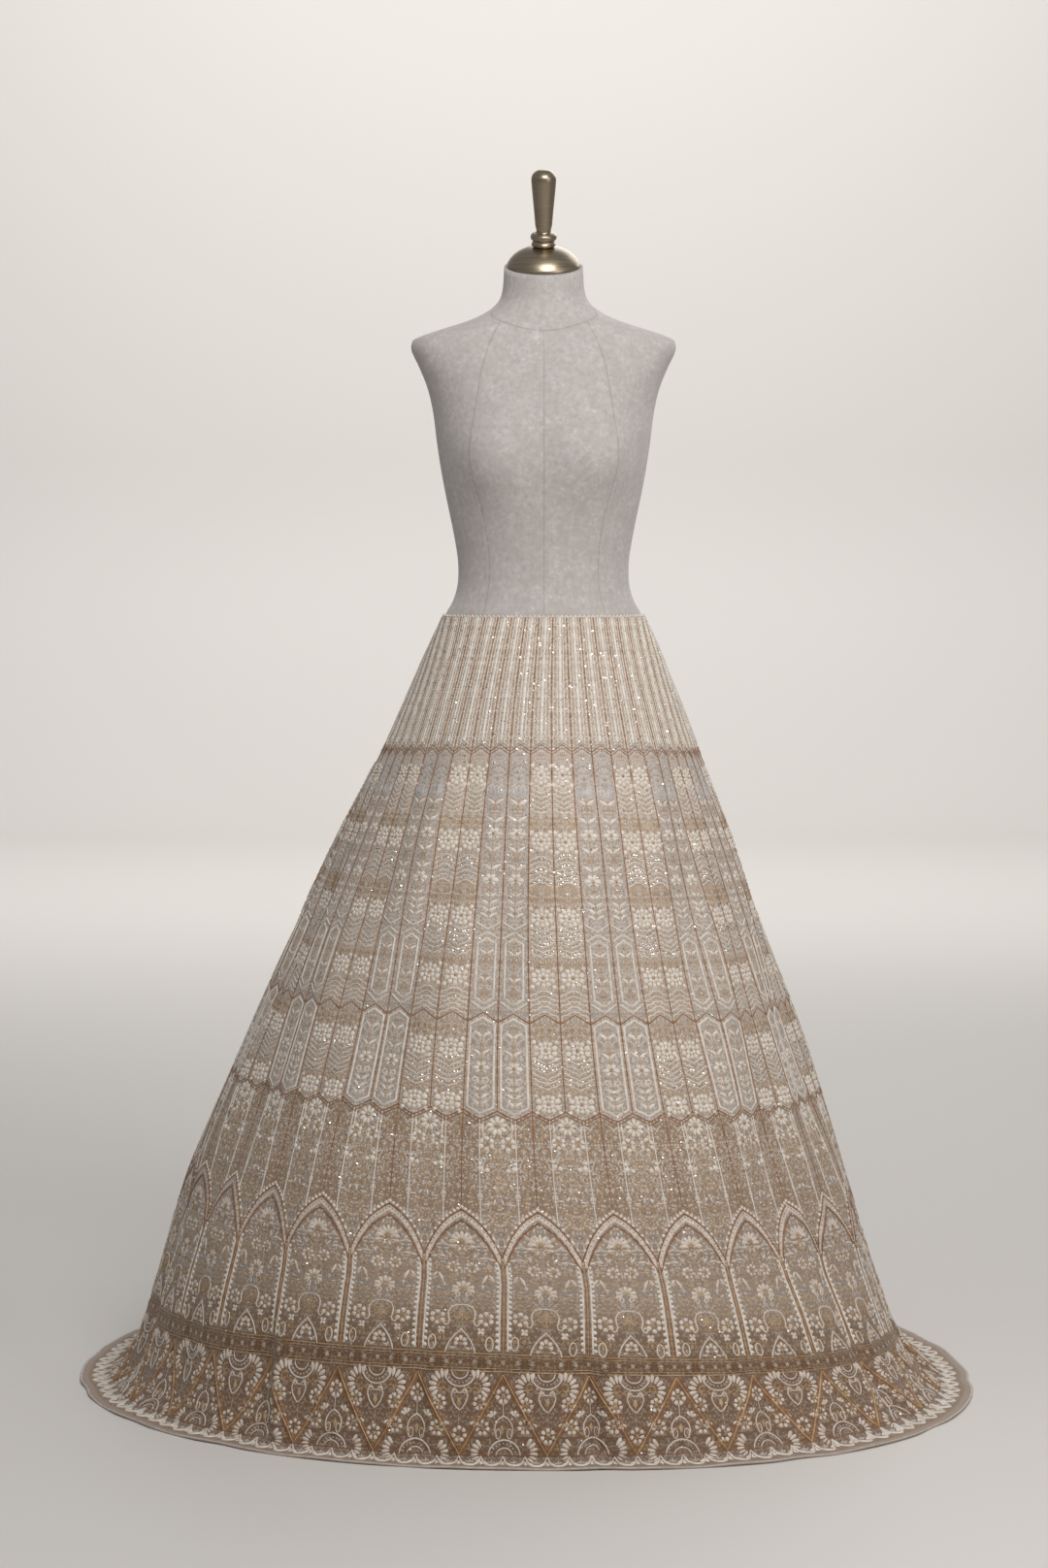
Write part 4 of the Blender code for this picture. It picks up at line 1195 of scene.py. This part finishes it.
def arch_gardens(work):
    """What stands in each arch, from the fan flower down to the pointed dome."""
    fan, bar, lotus = Motif(), Motif(), Motif()
    fan.flower(0, 9, 7, 17, 5.6, thread="beige", span_deg=170, heart=4.0)
    fan.flower(0, 10, 4, 9, 3.2, thread="gold", span_deg=110, heart=1.5)
    for side in (-1, 1):
        fan.petal("silver", side * 22, 14, side * 40, 8, 5, shape=DROP)
        fan.petal("beige", side * 5, 14, side * 105, 12, 5, shape=DROP, bend=-side * 2)
        fan.petal("beige", side * 2.5, 16, side * 160, 8, 4.6, shape=DROP)
    work.lay("arches", fan, ARCH_MIDDLES, 878)
    for side in (-1, 1):
        for x, aim, length in ((14, 35, 9), (22, 78, 13), (33, 96, 11)):
            bar.petal("beige", side * x, 0, side * aim, length, 3.8, shape=LEAF, bend=side)
        bar.petal("silver", side * 13, -3, side * 25, 8, 3, shape=LEAF)
        bar.petal("silver", side * 26, -3, side * 30, 8, 3, shape=LEAF)
        bar.rosette(side * 12, 16, 9.6, thread="beige")
        bar.flower(side * 31, 16, 5, 7.0, 4.8, thread="gold", heart=2)
        bar.petal("beige", side * 32, 26, side * -150, 20, 4.4, 1.5, LEAF, bend=-side * 3)
        bar.petal("beige", side * 33, 26, side * 142, 13, 3.8, 1.3, LEAF, bend=side)
    work.lay("arches", bar, ARCH_MIDDLES, 911)
    lotus.flower(0, 4, 7, 15.5, 5.6, thread="beige", span_deg=210, heart=4.2,
                 shape=PLUMP)
    lotus.flower(0, 4, 4, 10, 3.4, thread="gold", span_deg=110, heart=1.5)
    for side in (-1, 1):
        lotus.curl("beige", side * 7.5, 12, 5.0, 2.2, 200, side, 1.1, 1.2)
        lotus.petal("beige", side * 4, 6, side * 110, 12, 4.0, shape=DROP, bend=-side * 2)
        lotus.curl("silver", side * 5.0, 21, 4.2, 1.5, 0, side, 1.2, 0.9)
        lotus.petal("silver", side * 24, 2, side * 15, 9, 4.0)
        lotus.petal("silver", side * 28, 6, side * 70, 8, 3.4)
    work.lay("arches", lotus, ARCH_MIDDLES, 960)
    hoop = Motif()
    right = [(0, 0), (8, 0.5), (14, 4), (17, 10), (17, 17), (15.5, 23), (17, 28), (21, 29),
             (23, 25.5), (20.5, 23.5)]
    hoop.cord("beige", mirrored(right), 2.2, 1.3)
    hoop.spray("gold", 0, 15, range(0, 360, 45), 0, 9, 2.8, 0.9)
    hoop.cord("gold", [(0, 4), (0, 30)], 1.1, 0.6)
    for side in (-1, 1):
        hoop.rosette(side * 31, 19, 10.5, 6, thread="beige")
        hoop.spray("beige", side * 25, 36, range(45, 360, 90), 0, 5.6, 4.2)
        hoop.cord("beige", arc(side * 36, 52, 4.6, 8.6, 0, 360, 12)[:-1], 1.9, 1.2, closed=True)
        hoop.petal("gold", side * 36, 57, 0, 9, 3.4, 0.9)
    work.lay("arches", hoop, ARCH_MIDDLES, 990)
    dome = Motif()
    right = [(0, 0), (3.5, 4), (9, 9.5), (14, 16), (17.5, 23), (19.5, 29.5)]
    dome.cord("beige", mirrored(right), 2.2, 1.4)
    dome.flower(0, 18, 5, 9.5, 5.6, thread="beige", span_deg=200)
    for side in (-1, 1):
        dome.petal("beige", side * 5, 23, side * 110, 8, 3.4, shape=DROP)
        dome.knot("silver", side * 13.5, 24, 1.8, 1.2)
    dome.cord("gold", [(0, 18), (0, 28)], 1.1, 0.6)
    work.lay("arches", dome, ARCH_MIDDLES, 1024)
    broad, close = gold_scrolls(17, 12), gold_scrolls(12, 9)
    for run, motif, offset in (
        (903, close, 0), (895, close, 0), (928, close, 0), (941, broad, 0),
        (952, close, 0.42), (952, close, -0.42), (974, close, 0.45), (974, close, -0.45),
        (1000, close, 0), (992, close, 0.5), (992, close, -0.5), (1012, close, 0.3),
        (1012, close, -0.3), (1036, close, 0.62), (1036, close, -0.62),
    ):
        work.lay("arches", motif, ARCH_MIDDLES + offset, run)


def belt(work):
    """A narrow brocade band with florets, between two pairs of brown cords."""
    strips = np.linspace(0, STRIPS, STRIPS * 4 + 1)
    for run, width in ((BELT_TOP, 1.5), (BELT_TOP + 3.4, 1.1), (BELT_BOTTOM - 3.4, 1.1),
                       (BELT_BOTTOM, 1.5)):
        work.line("belt", "gold", strips, np.full(len(strips), run), width, 0.9)
    floret = Motif()
    floret.spray("gold", 0, 0, range(45, 360, 90), 0, 4.6, 2.2, 0.9)
    floret.spray("silver", 0, 0, range(0, 360, 90), 0, 3.0, 1.6, 0.8)
    work.lay("belt", floret, np.arange(STRIPS * 3) / 3, (BELT_TOP + BELT_BOTTOM) / 2)
    bar = Motif()
    bar.cord("brown", [(0, -6), (0, 6)], 1.2, 0.8)
    work.lay("belt", bar, np.arange(STRIPS * 3) / 3 + 1 / 6, (BELT_TOP + BELT_BOTTOM) / 2)


def border(work):
    """Triangles that hang and stand by turns, filled with medallions and flowers."""
    for side in (-1, 1):
        strips = np.linspace(0, side, 9)
        runs = np.linspace(BELT_BOTTOM + 3, BORDER_END, 9)
        work.line("border", "gold", strips, runs, 2.4, 2.2, ARCH_FEET)
        for aside in (-2.7, 2.7):
            work.line("border", "brown", strips, runs, 2.6, 1.5, ARCH_FEET, aside)
    hanging = Motif()
    hanging.cord("beige", arc(0, 1, 21, 18, 90, 270, 12), 2.3, 1.4)
    hanging.cord("beige", arc(0, 1, 11, 9, 90, 270, 8), 1.9, 1.2)
    for aim in range(108, 253, 18):
        along, _ = aimed(aim)
        hanging.knot("silver", 16 * along[0], 13.5 * along[1] + 1, 1.2, 1.0, sides=5)
    for side in (-1, 1):
        aims = [side * (-15 + i * 24) for i in range(7)]
        hanging.spray("beige", side * 22, 18, aims, 8, 12.0, 4.9, 1.5, PLUMP)
        hanging.spray("gold", side * 22, 18, aims, 3, 4.6, 1.8, 0.9)
        hanging.rosette(side * 27, 37, 9.4, thread="beige")
        aims = [side * aim for aim in (145, 190, 235)]
        hanging.spray("beige", side * 20, 58, aims, 0, 8.0, 4.4, 1.2, DROP)
        hanging.curl("beige", side * 6, 24, 4.2, 1.6, 0, side, 1.0, 1.2)
    right = [(3, 26), (5.5, 22.5), (9.5, 24), (11, 30), (8.5, 37), (4, 43), (0, 46)]
    hanging.cord("beige", mirrored(right), 2.0, 1.3)
    hanging.petal("gold", 0, 42, 0, 14, 7, 1.0)
    hanging.rosette(0, 74, 10.5, thread="beige")
    hanging.cord("gold", [(0, 47), (0, 64)], 1.1, 0.6)
    work.lay("border", hanging, ARCH_MIDDLES, BELT_BOTTOM)
    standing = Motif()
    standing.rosette(0, 0, 10.5, thread="beige")
    standing.cord("beige", [(0, 8), (0, 22)], 1.6, 1.0)
    for side in (-1, 1):
        aims = [side * aim for aim in (-30, 20, 70)]
        standing.spray("beige", side * 14, 24, aims, 0, 8.0, 4.6, 1.2, DROP)
        standing.cord("beige", arc(side * 7.5, 44, 3.4, 6.0, 0, 360, 10)[:-1], 1.5, 1.2,
                      closed=True)
        standing.rosette(side * 28, 36, 10.0, thread="beige")
        aims = [side * (35 + i * 21) for i in range(6)]
        standing.spray("beige", side * 25, 66, aims, 8, 12.0, 4.9, 1.5, PLUMP)
    right = [(0, 23), (7, 27), (11, 33), (12, 40), (9.5, 47)]
    standing.cord("beige", mirrored(right), 2.0, 1.3)
    standing.petal("gold", 0, 46, 0, 15, 7, 1.0)
    standing.cord("beige", arc(0, 70, 21, 19, -90, 90, 12), 2.3, 1.4)
    standing.cord("beige", arc(0, 70, 11, 10, -90, 90, 8), 1.9, 1.2)
    for aim in range(-72, 73, 18):
        along, _ = aimed(aim)
        standing.knot("silver", 16 * along[0], 70 + 14.5 * along[1], 1.2, 1.0, sides=5)
    work.lay("border", standing, ARCH_FEET, 1102)
    close = gold_scrolls(9, 7)
    for run, offset in ((1112, 0.40), (1128, 0.5), (1144, 0.3), (1162, 0.9), (1098, 0.72)):
        for side in (-1, 1):
            work.lay("border", close, ARCH_FEET + side * offset, run)


def hem_edge(work):
    """A waved cream cord with a leaf fan in each wave, then a narrow rolled hem."""
    period = 2 / HEM_WAVES_PER_ARCH
    strips = np.linspace(0, STRIPS, STRIPS * 12 + 1)
    hang = np.abs(np.sin(np.pi * strips / period))
    work.line("hem", "cream", strips, BORDER_END + 2 + HEM_WAVE_HANG * hang**0.8, 3.4,
              2.2)
    work.line("hem", "brown", strips, np.full(len(strips), BORDER_END), 1.4, 1.0)
    fan, drop = Motif(), Motif()
    fan.spray("cream", 0, 8, (138, 180, 222), 0, 15, 6.4, 1.5, DROP)
    drop.spray("silver", 0, 0, (-42, 0, 42), 0, 8, 4.6, 1.3, DROP)
    waves_round = np.arange(STRIPS / period) * period
    work.lay("hem", fan, waves_round, BORDER_END)
    work.lay("hem", drop, waves_round + period / 2, BORDER_END + 16)
    around = np.linspace(0, STRIPS, STRIPS * 4 + 1)
    work.line("hem", "silver", around, np.full(len(around), HEM_RUN / MM - 1.6), 3.0, 0.7)


# Sequins: first and last run of a band in millimetres, and how many lie in it.
SEQUIN_BANDS = (
    (5, 200, 1500), (200, 572, 1700), (572, 702, 700), (702, 850, 900), (850, 1054, 700),
    (1075, 1170, 250),
)


def sequins(work):
    """Foil sequins sewn here and there."""
    for start, end, count in SEQUIN_BANDS:
        beads(work, "sequins", "foil", hand.uniform(0, STRIPS, count),
              hand.uniform(start, end, count), 1.3, 1.2, 0.4, 6)


# The waist's picots: how many to a strip, the mesh's steps to a strip and sides, and the
# cord's radius and height over the cloth, each as the least and what a picot adds.
PICOTS_PER_STRIP = 3
PICOT_STEPS = 12
PICOT_SIDES = 8
PICOT_RADIUS = (0.7, 1.1)
PICOT_HEIGHT = (0.2, 1.8)


def waist_picots():
    """The corded top edge of the skirt, with a small picot every few millimetres."""
    around, sides = STRIPS * PICOT_STEPS, PICOT_SIDES
    strips = np.arange(around) / PICOT_STEPS
    inner = inner_face(strips, np.zeros(around))
    outer = cloth_point(strips, np.zeros(around), np.full(around, CLOTH_THICKNESS))
    middle = (inner + outer) / 2
    out = outer - inner
    out /= np.linalg.norm(out, axis=1, keepdims=True)
    picot = 0.5 + 0.5 * np.cos(math.tau * strips * PICOTS_PER_STRIP)
    angle = math.tau * np.arange(sides) / sides
    radius = (PICOT_RADIUS[0] + PICOT_RADIUS[1] * picot) * MM
    up = np.array([0, 0, 1])
    centre = middle + up * (PICOT_HEIGHT[0] + PICOT_HEIGHT[1] * picot[:, None]) * MM
    ring = (centre[:, None, :] + out[:, None, :] * (radius[:, None] * np.sin(angle))[..., None]
            + up * (radius[:, None] * np.cos(angle) * 1.2)[..., None])
    points = ring.reshape(-1, 3)
    here, side = np.meshgrid(np.arange(around), np.arange(sides), indexing="ij")
    ahead, beside = (here + 1) % around, (side + 1) % sides
    faces = np.stack([here * sides + side, ahead * sides + side, ahead * sides + beside,
                      here * sides + beside], -1).reshape(-1, 4)
    lay = np.stack([side * 1.4, here * 1.2], -1)
    uvs = np.stack([lay, lay, lay, lay], 2).reshape(-1, 2)
    return new_piece("waist_picots", points, faces, CREAM, "thread", uvs,
                     ["waist_binding"])


# The form: torso, neck cap, finial and stand

# Torso levels: height, half width, depth in front and behind, squareness.
TORSO = np.array([
    (0.8400, 0.1640, 0.1180, 0.1220, 2.10), (0.8900, 0.1705, 0.1200, 0.1290, 2.10),
    (0.9400, 0.1690, 0.1200, 0.1280, 2.10), (0.9900, 0.1605, 0.1185, 0.1200, 2.05),
    (1.0400, 0.1495, 0.1150, 0.1080, 2.00), (1.0820, 0.1403, 0.1105, 0.0985, 2.00),
    (1.1050, 0.1285, 0.1040, 0.0920, 2.00), (1.1250, 0.1225, 0.0995, 0.0880, 2.00),
    (1.1450, 0.1208, 0.0980, 0.0870, 2.00), (1.1700, 0.1222, 0.0985, 0.0880, 2.00),
    (1.2100, 0.1292, 0.1020, 0.0940, 2.05), (1.2500, 0.1375, 0.1070, 0.1000, 2.10),
    (1.2900, 0.1450, 0.1120, 0.1050, 2.15), (1.3300, 0.1510, 0.1140, 0.1080, 2.20),
    (1.3700, 0.1560, 0.1090, 0.1100, 2.30), (1.4050, 0.1640, 0.1000, 0.1095, 2.50),
    (1.4350, 0.1760, 0.0900, 0.1060, 2.70), (1.4580, 0.1865, 0.0810, 0.0990, 2.70),
    (1.4720, 0.1850, 0.0750, 0.0930, 2.60), (1.4840, 0.1560, 0.0700, 0.0860, 2.50),
    (1.4970, 0.1150, 0.0660, 0.0790, 2.30), (1.5100, 0.0850, 0.0625, 0.0710, 2.15),
    (1.5250, 0.0655, 0.0590, 0.0640, 2.05), (1.5430, 0.0580, 0.0560, 0.0590, 2.00),
    (1.5760, 0.0556, 0.0556, 0.0556, 2.00),
])
NECK_TILT_DEG = 17
NECK_TILT_FROM = 1.4970
BUST_TURN_DEG = 33
BUST_SPREAD_DEG = 24
BUST_HEIGHT = 1.300
BUST_SPREAD_UP = 0.062
BUST_SPREAD_DOWN = 0.056
BUST_RISE = 0.021
TORSO_COLUMNS = 96
STEPS_BETWEEN_LEVELS = 5
SEAT_GAP = 0.3 * MM


def torso():
    """The padded body of the form, smooth between its levels, closed at both ends."""
    last = len(TORSO) - 1
    place = np.linspace(0, last, last * STEPS_BETWEEN_LEVELS + 1)
    above = np.minimum(place.astype(int), last - 1)
    share = (place - above)[:, None]
    slopes = np.gradient(TORSO, axis=0)
    span = TORSO[above + 1] - TORSO[above]
    steep = 3 * np.abs(span)
    start_slope = np.clip(slopes[above], -steep, steep)
    end_slope = np.clip(slopes[above + 1], -steep, steep)
    levels = (
        TORSO[above] * (1 + 2 * share) * (1 - share) ** 2 + start_slope * share * (1 - share) ** 2
        + TORSO[above + 1] * share**2 * (3 - 2 * share) - end_slope * share**2 * (1 - share)
    )
    height, half_width, front, back, square = (column[:, None] for column in levels.T)
    turn = math.tau * np.arange(TORSO_COLUMNS)[None, :] / TORSO_COLUMNS
    depth = np.where(np.cos(turn) > 0, front, back)
    radius = (np.abs(np.sin(turn) / half_width) ** square
              + np.abs(np.cos(turn) / depth) ** square) ** (-1 / square)
    spread = np.where(height > BUST_HEIGHT, BUST_SPREAD_UP, BUST_SPREAD_DOWN)
    level_share = np.exp(-(((height - BUST_HEIGHT) / spread) ** 2))
    for side in (-1, 1):
        away = off_front_deg(turn - math.radians(side * BUST_TURN_DEG))
        radius = radius + BUST_RISE * level_share * np.exp(-((away / BUST_SPREAD_DEG) ** 2))
    y = -radius * np.cos(turn)
    up_neck = np.clip((height - NECK_TILT_FROM) / (TORSO[-1, 0] - NECK_TILT_FROM), 0, None)
    z = height + math.tan(math.radians(NECK_TILT_DEG)) * up_neck * y
    points = np.stack([radius * np.sin(turn), y, z], axis=-1)
    rows = len(levels)
    faces, ids = grid_faces(rows, TORSO_COLUMNS, flip=True)
    heights = levels[:, 0]
    uvs = np.stack([ids[:, 1] * 360 / TORSO_COLUMNS, heights[ids[:, 0]]], axis=-1)
    foot = np.arange(TORSO_COLUMNS)[::-1]
    top = (rows - 1) * TORSO_COLUMNS + np.arange(TORSO_COLUMNS)
    faces = [tuple(face) for face in faces.tolist()] + [tuple(foot), tuple(top)]
    ends = np.zeros((2 * TORSO_COLUMNS, 2))
    piece = new_piece("torso_cover", points.reshape(-1, 3), faces, jersey_cover(),
                      "cover", np.concatenate([uvs, ends]), ["form_torso"])
    piece.data.polygons[-1].use_smooth = False
    piece.data.polygons[-2].use_smooth = False
    return piece


# Turned outlines as radius and height, from the top of the axis down, in metres.
CAP_OUTLINE = (
    (0.0, 0.0280), (0.0150, 0.0280), (0.0200, 0.0272), (0.0300, 0.0241), (0.0390, 0.0190),
    (0.0455, 0.0132), (0.0500, 0.0070), (0.0518, 0.0030), (0.0520, 0.0010), (0.0510, 0.0),
    (0.0, 0.0),
)
FINIAL_OUTLINE = (
    (0.0, 0.1092), (0.0070, 0.1082), (0.0126, 0.1054), (0.0163, 0.1010), (0.0175, 0.0955),
    (0.0172, 0.0890), (0.0161, 0.0760), (0.0138, 0.0520), (0.0120, 0.0310),
    (0.0112, 0.0205), (0.0150, 0.0196), (0.0178, 0.0172), (0.0185, 0.0142),
    (0.0178, 0.0110), (0.0155, 0.0086), (0.0160, 0.0064), (0.0172, 0.0044),
    (0.0168, 0.0020), (0.0140, 0.0), (0.0, 0.0),
)
TURNED_STEPS = 72
OUTLINE_STEPS = 6
SHARP_DEG = 50


def smooth_outline(outline):
    """A turned outline with its bends rounded, its first and last stretch kept straight."""
    points = np.array(outline)
    reach = np.concatenate([[0], np.cumsum(np.hypot(*np.diff(points, axis=0).T))])
    slopes = np.gradient(points, reach, axis=0)
    smooth = [points[0]]
    for i in range(1, len(points) - 2):
        span = reach[i + 1] - reach[i]
        for step in range(OUTLINE_STEPS):
            t = step / OUTLINE_STEPS
            smooth.append(
                points[i] * (1 + 2 * t) * (1 - t) ** 2 + slopes[i] * span * t * (1 - t) ** 2
                + points[i + 1] * t * t * (3 - 2 * t) - slopes[i + 1] * span * t * t * (1 - t)
            )
    return np.array(smooth + [points[-2], points[-1]])


def turned_on_neck(name, outline, rise, node, material):
    """A turned body that stands on the neck's tilted top, a rise above it."""
    rings = smooth_outline(outline)
    turn = math.tau * np.arange(TURNED_STEPS) / TURNED_STEPS
    radius, height = rings[1:-1, 0:1], rings[1:-1, 1:2] + rise
    x = radius * np.sin(turn)
    y = -radius * np.cos(turn)
    tilt = math.radians(NECK_TILT_DEG)
    ends = np.array([(0, 0, rings[0, 1] + rise), (0, 0, rings[-1, 1] + rise)])
    points = np.stack([x, y, np.broadcast_to(height, x.shape)], axis=-1).reshape(-1, 3)
    points = np.concatenate([points, ends])
    spin = np.array([[1, 0, 0], [0, math.cos(tilt), -math.sin(tilt)],
                     [0, math.sin(tilt), math.cos(tilt)]])
    points = points @ spin.T + (0, 0, TORSO[-1, 0])
    rows = len(rings) - 2
    faces, _ = grid_faces(rows, TURNED_STEPS)
    here = np.arange(TURNED_STEPS)
    ahead = (here + 1) % TURNED_STEPS
    foot_row = (rows - 1) * TURNED_STEPS
    top = np.full(TURNED_STEPS, len(points) - 2)
    fans = [np.stack([top, here, ahead], -1),
            np.stack([top + 1, foot_row + ahead, foot_row + here], -1)]
    faces = faces.tolist() + fans[0].tolist() + fans[1].tolist()
    piece = new_piece(name, points, faces, material, replaces=[node])
    piece.data.set_sharp_from_angle(angle=math.radians(SHARP_DEG))
    return piece


# Studio

# The floor's reach, where it starts to curve up, the curve and the wall's top, in metres.
STUDIO_REACH = 30.0
BEND_FROM = 9.4
BEND_RADIUS = 1.6
BEND_STEPS = 12
WALL_TOP = 8.0
WORLD_STRENGTH = 0.36
# Soft boxes: name, place, the point that it faces, width, height, watts and colour.
SOFT_BOXES = (
    ("key_light", (0.5, -2.2, 3.1), (0, 0, 0.95), 1.5, 1.2, 62, "FFFDFA"),
    ("fill_light", (2.6, -2.7, 1.9), (0, 0, 0.9), 1.6, 1.6, 16, "FFFCF8"),
    ("back_light", (1.0, 2.3, 2.9), (0, 0, 1.0), 2.4, 1.6, 22, "FFFCF8"),
    ("wall_light", (0, 5.5, 6.0), (0, 10.6, 1.6), 7.0, 2.5, 420, "FFFDFA"),
)


def floor_and_backdrop():
    """A plain pale floor that curves up into a plain pale wall far behind."""
    profile = [(-STUDIO_REACH, 0.0), (BEND_FROM, 0.0)]
    for step in range(1, BEND_STEPS + 1):
        angle = math.pi / 2 * step / BEND_STEPS
        profile.append((BEND_FROM + BEND_RADIUS * math.sin(angle),
                        BEND_RADIUS * (1 - math.cos(angle))))
    profile.append((BEND_FROM + BEND_RADIUS, WALL_TOP))
    points = [(x, y, z) for x in (-STUDIO_REACH, STUDIO_REACH) for y, z in profile]
    count = len(profile)
    faces = [(i, i + count, i + count + 1, i + 1) for i in range(count - 1)]
    mesh = bpy.data.meshes.new("studio_floor")
    mesh.from_pydata(points, [], faces)
    mesh.shade_smooth()
    paper = new_material("studio_paper", Base_Color="D8D5D2", Roughness=0.6)
    mesh.materials.append(paper)
    floor = bpy.data.objects.new("studio_floor", mesh)
    bpy.context.scene.collection.objects.link(floor)


def soft_light(name, place, aim, width, height, watts, hex_color):
    """A large soft box that faces a point."""
    data = bpy.data.lights.new(name, "AREA")
    data.shape = "RECTANGLE"
    data.size = width
    data.size_y = height
    data.energy = watts
    data.color = linear(hex_color)[:3]
    light = bpy.data.objects.new(name, data)
    bpy.context.scene.collection.objects.link(light)
    light.location = place
    toward = np.array(aim) - np.array(place)
    flat = math.hypot(toward[0], toward[1])
    light.rotation_euler = (
        math.atan2(flat, -toward[2]), 0, math.atan2(toward[1], toward[0]) - math.pi / 2)


def studio():
    """The camera, the world's light and four soft boxes."""
    data = bpy.data.cameras.new("camera")
    data.sensor_fit = "VERTICAL"
    data.sensor_height = SENSOR_MM
    data.lens = FOCAL_PX * SENSOR_MM / PHOTO_HEIGHT_PX
    camera = bpy.data.objects.new("camera", data)
    bpy.context.scene.collection.objects.link(camera)
    camera.location = CAMERA_PLACE
    camera.rotation_euler = (math.radians(90 - CAMERA_DOWN_DEG), 0, 0)
    bpy.context.scene.camera = camera
    world = bpy.data.worlds.new("studio_air")
    bpy.context.scene.world = world
    world.use_nodes = True
    background = world.node_tree.nodes["Background"]
    background.inputs["Color"].default_value = linear("ECEBEA")
    background.inputs["Strength"].default_value = WORLD_STRENGTH
    for soft_box in SOFT_BOXES:
        soft_light(*soft_box)
    floor_and_backdrop()
    bpy.context.scene.view_settings.view_transform = "Standard"


def main():
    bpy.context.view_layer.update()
    studio()
    cloth = skirt_cloth()
    work = Needlework()
    for band in (seam_cords, yoke, flower_strips, medallion_strips, lower_panels, arches,
                 arch_gardens, belt, border, hem_edge, sequins):
        band(work)
    trimmings = work.make_pieces() + [waist_picots()]
    torso()
    cap_metal = lacquered_metal()
    turned_on_neck("neck_cap", CAP_OUTLINE, SEAT_GAP, "form_neck_cap", cap_metal)
    finial_foot = 2 * SEAT_GAP + CAP_OUTLINE[0][1]
    turned_on_neck("finial", FINIAL_OUTLINE, finial_foot, "form_finial", cap_metal)
    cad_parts["stand_pole"].material_slots[0].material = drawn_steel()
    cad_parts["stand_base"].material_slots[0].material = enamelled_iron()


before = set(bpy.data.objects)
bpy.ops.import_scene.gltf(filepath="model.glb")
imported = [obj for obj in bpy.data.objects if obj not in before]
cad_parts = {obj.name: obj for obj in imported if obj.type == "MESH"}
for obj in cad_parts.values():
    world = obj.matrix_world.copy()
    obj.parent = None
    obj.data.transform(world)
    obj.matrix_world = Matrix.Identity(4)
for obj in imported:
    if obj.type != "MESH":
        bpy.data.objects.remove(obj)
main()
